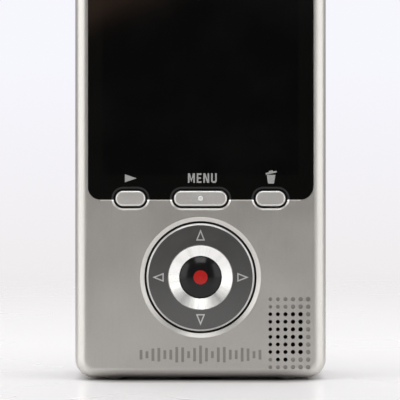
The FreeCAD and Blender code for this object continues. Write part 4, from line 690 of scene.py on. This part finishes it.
def weave_points(facing):
    """The wires of one head, over and under each other at every crossing."""
    points, faces = [], []
    reach_u = HALF - ROUND + ROUND * math.pi / 2
    reach_s = TOP - ROUND - BOTTOM + ROUND * math.pi / 2
    count_u, count_s = int(reach_u / PITCH), int(reach_s / PITCH)
    upright = [[(i * PITCH, k * PITCH / SAMPLES) for k in range(count_s * SAMPLES + 3)]
               for i in range(-count_u, count_u + 1)]
    level = [[(k * PITCH / SAMPLES, j * PITCH)
              for k in range(-count_u * SAMPLES - 2, count_u * SAMPLES + 3)]
             for j in range(1, count_s + 1)]
    for wires, way in ((upright, 1.0), (level, -1.0)):
        for wire in wires:
            sampled = trimmed([(on_head(u, s), u, s) for u, s in wire])
            if len(sampled) < 3:
                continue
            path = []
            for at, u, s in sampled:
                side_u = (on_head(u + PROBE, s) or at) - (on_head(u - PROBE, s) or at)
                side_s = (on_head(u, s + PROBE) or at) - (on_head(u, s - PROBE) or at)
                normal = side_u.cross(side_s)
                normal = normal.normalized() if normal.length > 1e-9 else Vector((0, -1, 0))
                swing = way * math.cos(math.pi * u / PITCH) * math.cos(math.pi * s / PITCH)
                spot = at + normal * (WIRE * swing * SWING - WEAVE_DEPTH * WIRE)
                path.append((Vector((spot.x, spot.y * facing, spot.z)),
                             Vector((normal.x, normal.y * facing, normal.z))))
            tube(path, WIRE, points, faces)
    return points, faces


def strip(path, wide, thick, points, faces):
    """Adds a flat band along a path of (point, inward direction, direction across the band)."""
    first = len(points)
    for at, inward, over in path:
        for k, m in ((0.0, 0.0), (1.0, 0.0), (1.0, 1.0), (0.0, 1.0)):
            points.append((at + over * (wide * k) + inward * (thick * m)) * MM)
    for ring in range(len(path) - 1):
        for side in range(4):
            a, b = first + ring * 4 + side, first + ring * 4 + (side + 1) % 4
            faces.append([a, b, b + 4, a + 4])
    last = first + (len(path) - 1) * 4
    faces.append([first + side for side in range(4)])
    faces.append([last + side for side in reversed(range(4))])


def rim_points(facing):
    """The pressed rim round the arch of one head, and the band along its foot."""
    points, faces = [], []
    arch = [(-HALF, BOTTOM)]
    arch += around((-(HALF - CORNER), TOP - CORNER), CORNER, 180, 90, 24)
    arch += around((HALF - CORNER, TOP - CORNER), CORNER, 90, 0, 24)
    arch += [(HALF, BOTTOM)]
    path = []
    for x, z in arch:
        centre_x = max(-(HALF - CORNER), min(HALF - CORNER, x))
        inward = Vector((centre_x - x, 0.0, min(0.0, TOP - CORNER - z)))
        path.append((Vector((x, BACK * facing, z)), inward.normalized(),
                     Vector((0.0, -facing, 0.0))))
    strip(path, CROWN + RIM_DEPTH - BACK, RIM_THICK, points, faces)
    foot = [(-HALF, BACK + FOOT_START)]
    foot += around((-(HALF - ROUND), CROWN), ROUND, 180, 90, 12)
    foot += around((HALF - ROUND, CROWN), ROUND, 90, 0, 12)
    foot += [(HALF, BACK + FOOT_START)]
    path = []
    for x, depth in foot:
        centre_x = max(-(HALF - ROUND), min(HALF - ROUND, x))
        inward = Vector((centre_x - x, min(0.0, CROWN - depth), 0.0)).normalized()
        path.append((Vector((x, -depth * facing, BOTTOM)),
                     Vector((inward.x, -inward.y * facing, 0.0)), Vector((0.0, 0.0, 1.0))))
    strip(path, FOOT_TALL, FOOT_THICK, points, faces)
    return points, faces


wire_metal = Finish("woven_wire", (0.50, 0.50, 0.495), 0.3, 1.0)
wire_metal.paint(wire_metal.spread(wire_metal.noise(0.3), 0.35, 0.7, 0.0, 0.6), (0.36, 0.36, 0.355))
wire_metal.gloss(wire_metal.noise(0.2), 0.24, 0.4)
rim_metal = brushed("head_rim", (0.50, 0.495, 0.485), 0.32, STRAIGHT_Y, 0.06)
for label, facing in (("front", 1.0), ("rear", -1.0)):
    mesh_piece = piece(f"mic_weave_{label}", *weave_points(facing), wire_metal.material, "case",
                       "mic_mesh", smooth=True)
    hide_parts(f"mic_grille_{label}")
    piece(f"mic_rim_{label}", *rim_points(facing), rim_metal.material, "case", "mic_mesh")


# ---------------------------------------------------------------- studio

def studio_world():
    """A pale surround. The recorder is lit by bright sides and a darker room in front of it."""
    world = bpy.data.worlds.new("studio")
    bpy.context.scene.world = world
    world.use_nodes = True
    tree = world.node_tree
    tree.nodes.clear()
    add = functools.partial(add_node, tree)
    facing = add("ShaderNodeTexCoord").outputs["Generated"]

    def cone(towards, inner, outer):
        """1 within the inner angle of a direction, falling to 0 at the outer one."""
        near = add("ShaderNodeVectorMath", {0: facing, 1: Vector(towards).normalized()},
                   operation="DOT_PRODUCT").outputs["Value"]
        return add("ShaderNodeMapRange", {
            "Value": near, "From Min": math.cos(math.radians(outer)),
            "From Max": math.cos(math.radians(inner))}, interpolation_type="SMOOTHSTEP").outputs[0]

    upward = add("ShaderNodeSeparateXYZ", {0: facing}).outputs[2]
    climb = add("ShaderNodeMapRange", {"Value": upward, "From Min": -0.1, "From Max": 0.75}).outputs[0]
    light = add("ShaderNodeMix", {0: climb, 6: (0.30, 0.295, 0.295, 1.0), 7: (0.80, 0.80, 0.82, 1.0)},
                data_type="RGBA").outputs[2]
    for mask, color in (
            (cone((0.0, -1.0, 0.30), 24.0, 50.0), (0.11, 0.107, 0.104, 1.0)),
            (cone((-0.075, -1.0, 0.085), 2.0, 4.6), (0.75, 0.46, 0.32, 1.0)),
            (cone((0.0, -1.0, 0.0), 4.9, 5.7), (0.06, 0.058, 0.055, 1.0))):
        light = add("ShaderNodeMix", {0: mask, 6: light, 7: color}, data_type="RGBA").outputs[2]
    lit = add("ShaderNodeBackground", {"Color": light, "Strength": 1.0})
    band = add("ShaderNodeMapRange", {"Value": upward, "From Min": -0.03, "From Max": 0.06}).outputs[0]
    backdrop = add("ShaderNodeMix", {
        0: band, 6: (0.875, 0.85, 0.86, 1.0), 7: (0.925, 0.922, 0.985, 1.0)},
        data_type="RGBA").outputs[2]
    seen = add("ShaderNodeBackground", {"Color": backdrop, "Strength": 1.0})
    both = add("ShaderNodeMixShader", {0: add("ShaderNodeLightPath").outputs["Is Camera Ray"],
                                       1: lit.outputs[0], 2: seen.outputs[0]})
    out = add("ShaderNodeOutputWorld")
    tree.links.new(both.outputs[0], out.inputs["Surface"])


def softbox(name, place, aim, size, power):
    """A white rectangular lamp of that size in metres and power in watts, turned to a point."""
    data = bpy.data.lights.new(name, "AREA")
    data.shape = "RECTANGLE"
    data.size, data.size_y = size
    data.energy = power
    lamp = bpy.data.objects.new(name, data)
    lamp.location = place
    lamp.rotation_mode = "QUATERNION"
    lamp.rotation_quaternion = (Vector(aim) - Vector(place)).to_track_quat("-Z", "Y")
    lamp.visible_camera = False
    bpy.context.scene.collection.objects.link(lamp)


def studio_floor():
    """A pale, slightly glossy table top fading into the surround, with painted shade near the recorder.
    """
    top = Finish("table_top", (0.90, 0.885, 0.885), 0.27, Specular_IOR_Level=0.5)
    top.paint(top.spread(top.noise(40.0), 0.35, 0.7, 0.0, 0.3), (0.91, 0.90, 0.90))
    top.gloss(top.noise(90.0), 0.265, 0.28)
    parts = top.add("ShaderNodeSeparateXYZ", {0: top.place}).outputs
    # painted shade: the table darker in front of the recorder, standing in for less light falling there
    top.paint(top.spread(parts[1], -0.02, -0.12), (0.72, 0.71, 0.71))
    # painted shadow: the table darkened round the recorder's foot, fading out over about 10 mm
    beyond = [top.math("MAXIMUM", top.math("SUBTRACT", top.math("ABSOLUTE", parts[axis]), half), 0.0)
              for axis, half in ((0, 15.0 * MM), (1, 12.0 * MM))]
    away = top.math("SQRT", top.math("ADD", top.math("POWER", beyond[0], 2.0),
                                     top.math("POWER", beyond[1], 2.0)))
    top.paint(top.spread(away, 1.0 * MM, 10.5 * MM, 1.0, 0.0), (0.12, 0.10, 0.095))
    fade = top.add("ShaderNodeMapRange", {
        "Value": top.radius((0.0, 0.0, 0.0), "Z"), "From Min": 0.02, "From Max": 0.75},
        interpolation_type="SMOOTHSTEP").outputs[0]
    clear = top.add("ShaderNodeBsdfTransparent")
    mixed = top.add("ShaderNodeMixShader", {0: fade, 1: top.shader.outputs[0], 2: clear.outputs[0]})
    top.tree.links.new(mixed.outputs[0], top.tree.nodes["Material Output"].inputs["Surface"])
    reach, rings, spokes = 1.5, 6, 64
    points = [(0.0, 0.0, 0.0)]
    for ring in range(1, rings + 1):
        for spoke in range(spokes):
            angle = 2 * math.pi * spoke / spokes
            points.append((reach * ring / rings * math.cos(angle), reach * ring / rings * math.sin(angle),
                           0.0))
    faces = [[0, 1 + k, 1 + (k + 1) % spokes] for k in range(spokes)]
    for ring in range(rings - 1):
        for k in range(spokes):
            a, b = 1 + ring * spokes + k, 1 + ring * spokes + (k + 1) % spokes
            faces.append([a, a + spokes, b + spokes, b])
    mesh = bpy.data.meshes.new("table_top")
    mesh.from_pydata(points, [], faces)
    mesh.materials.append(top.material)
    floor = bpy.data.objects.new("table_top", mesh)
    bpy.context.scene.collection.objects.link(floor)


studio_world()
studio_floor()
softbox("soft_left", (-0.77, -0.32, 0.26), (0.0, 0.0, 0.06), (1.1, 0.6), 3.2)
softbox("soft_right", (0.77, -0.32, 0.26), (0.0, 0.0, 0.06), (1.1, 0.6), 2.9)
softbox("soft_front", (0.0, -0.60, 0.56), (0.0, 0.0, 0.03), (0.34, 0.16), 0.6)
softbox("soft_overhead", (0.0, 0.05, 0.95), (0.0, 0.0, 0.0), (1.0, 1.0), 7.2)

CAMERA_LENS = 200.0
CAMERA_AWAY = 0.441                                # from the front face to the lens
camera_data = bpy.data.cameras.new("camera")
camera_data.lens = CAMERA_LENS
camera_data.sensor_width = 36.0
camera_data.clip_start, camera_data.clip_end = 0.01, 20.0
camera = bpy.data.objects.new("camera", camera_data)
camera.location = (-0.0001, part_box("front_shell")[0].y - CAMERA_AWAY, 0.0358)
camera.rotation_euler = (math.radians(90.0), 0.0, 0.0)
bpy.context.scene.collection.objects.link(camera)
bpy.context.scene.camera = camera
bpy.context.scene.view_settings.view_transform = "Standard"
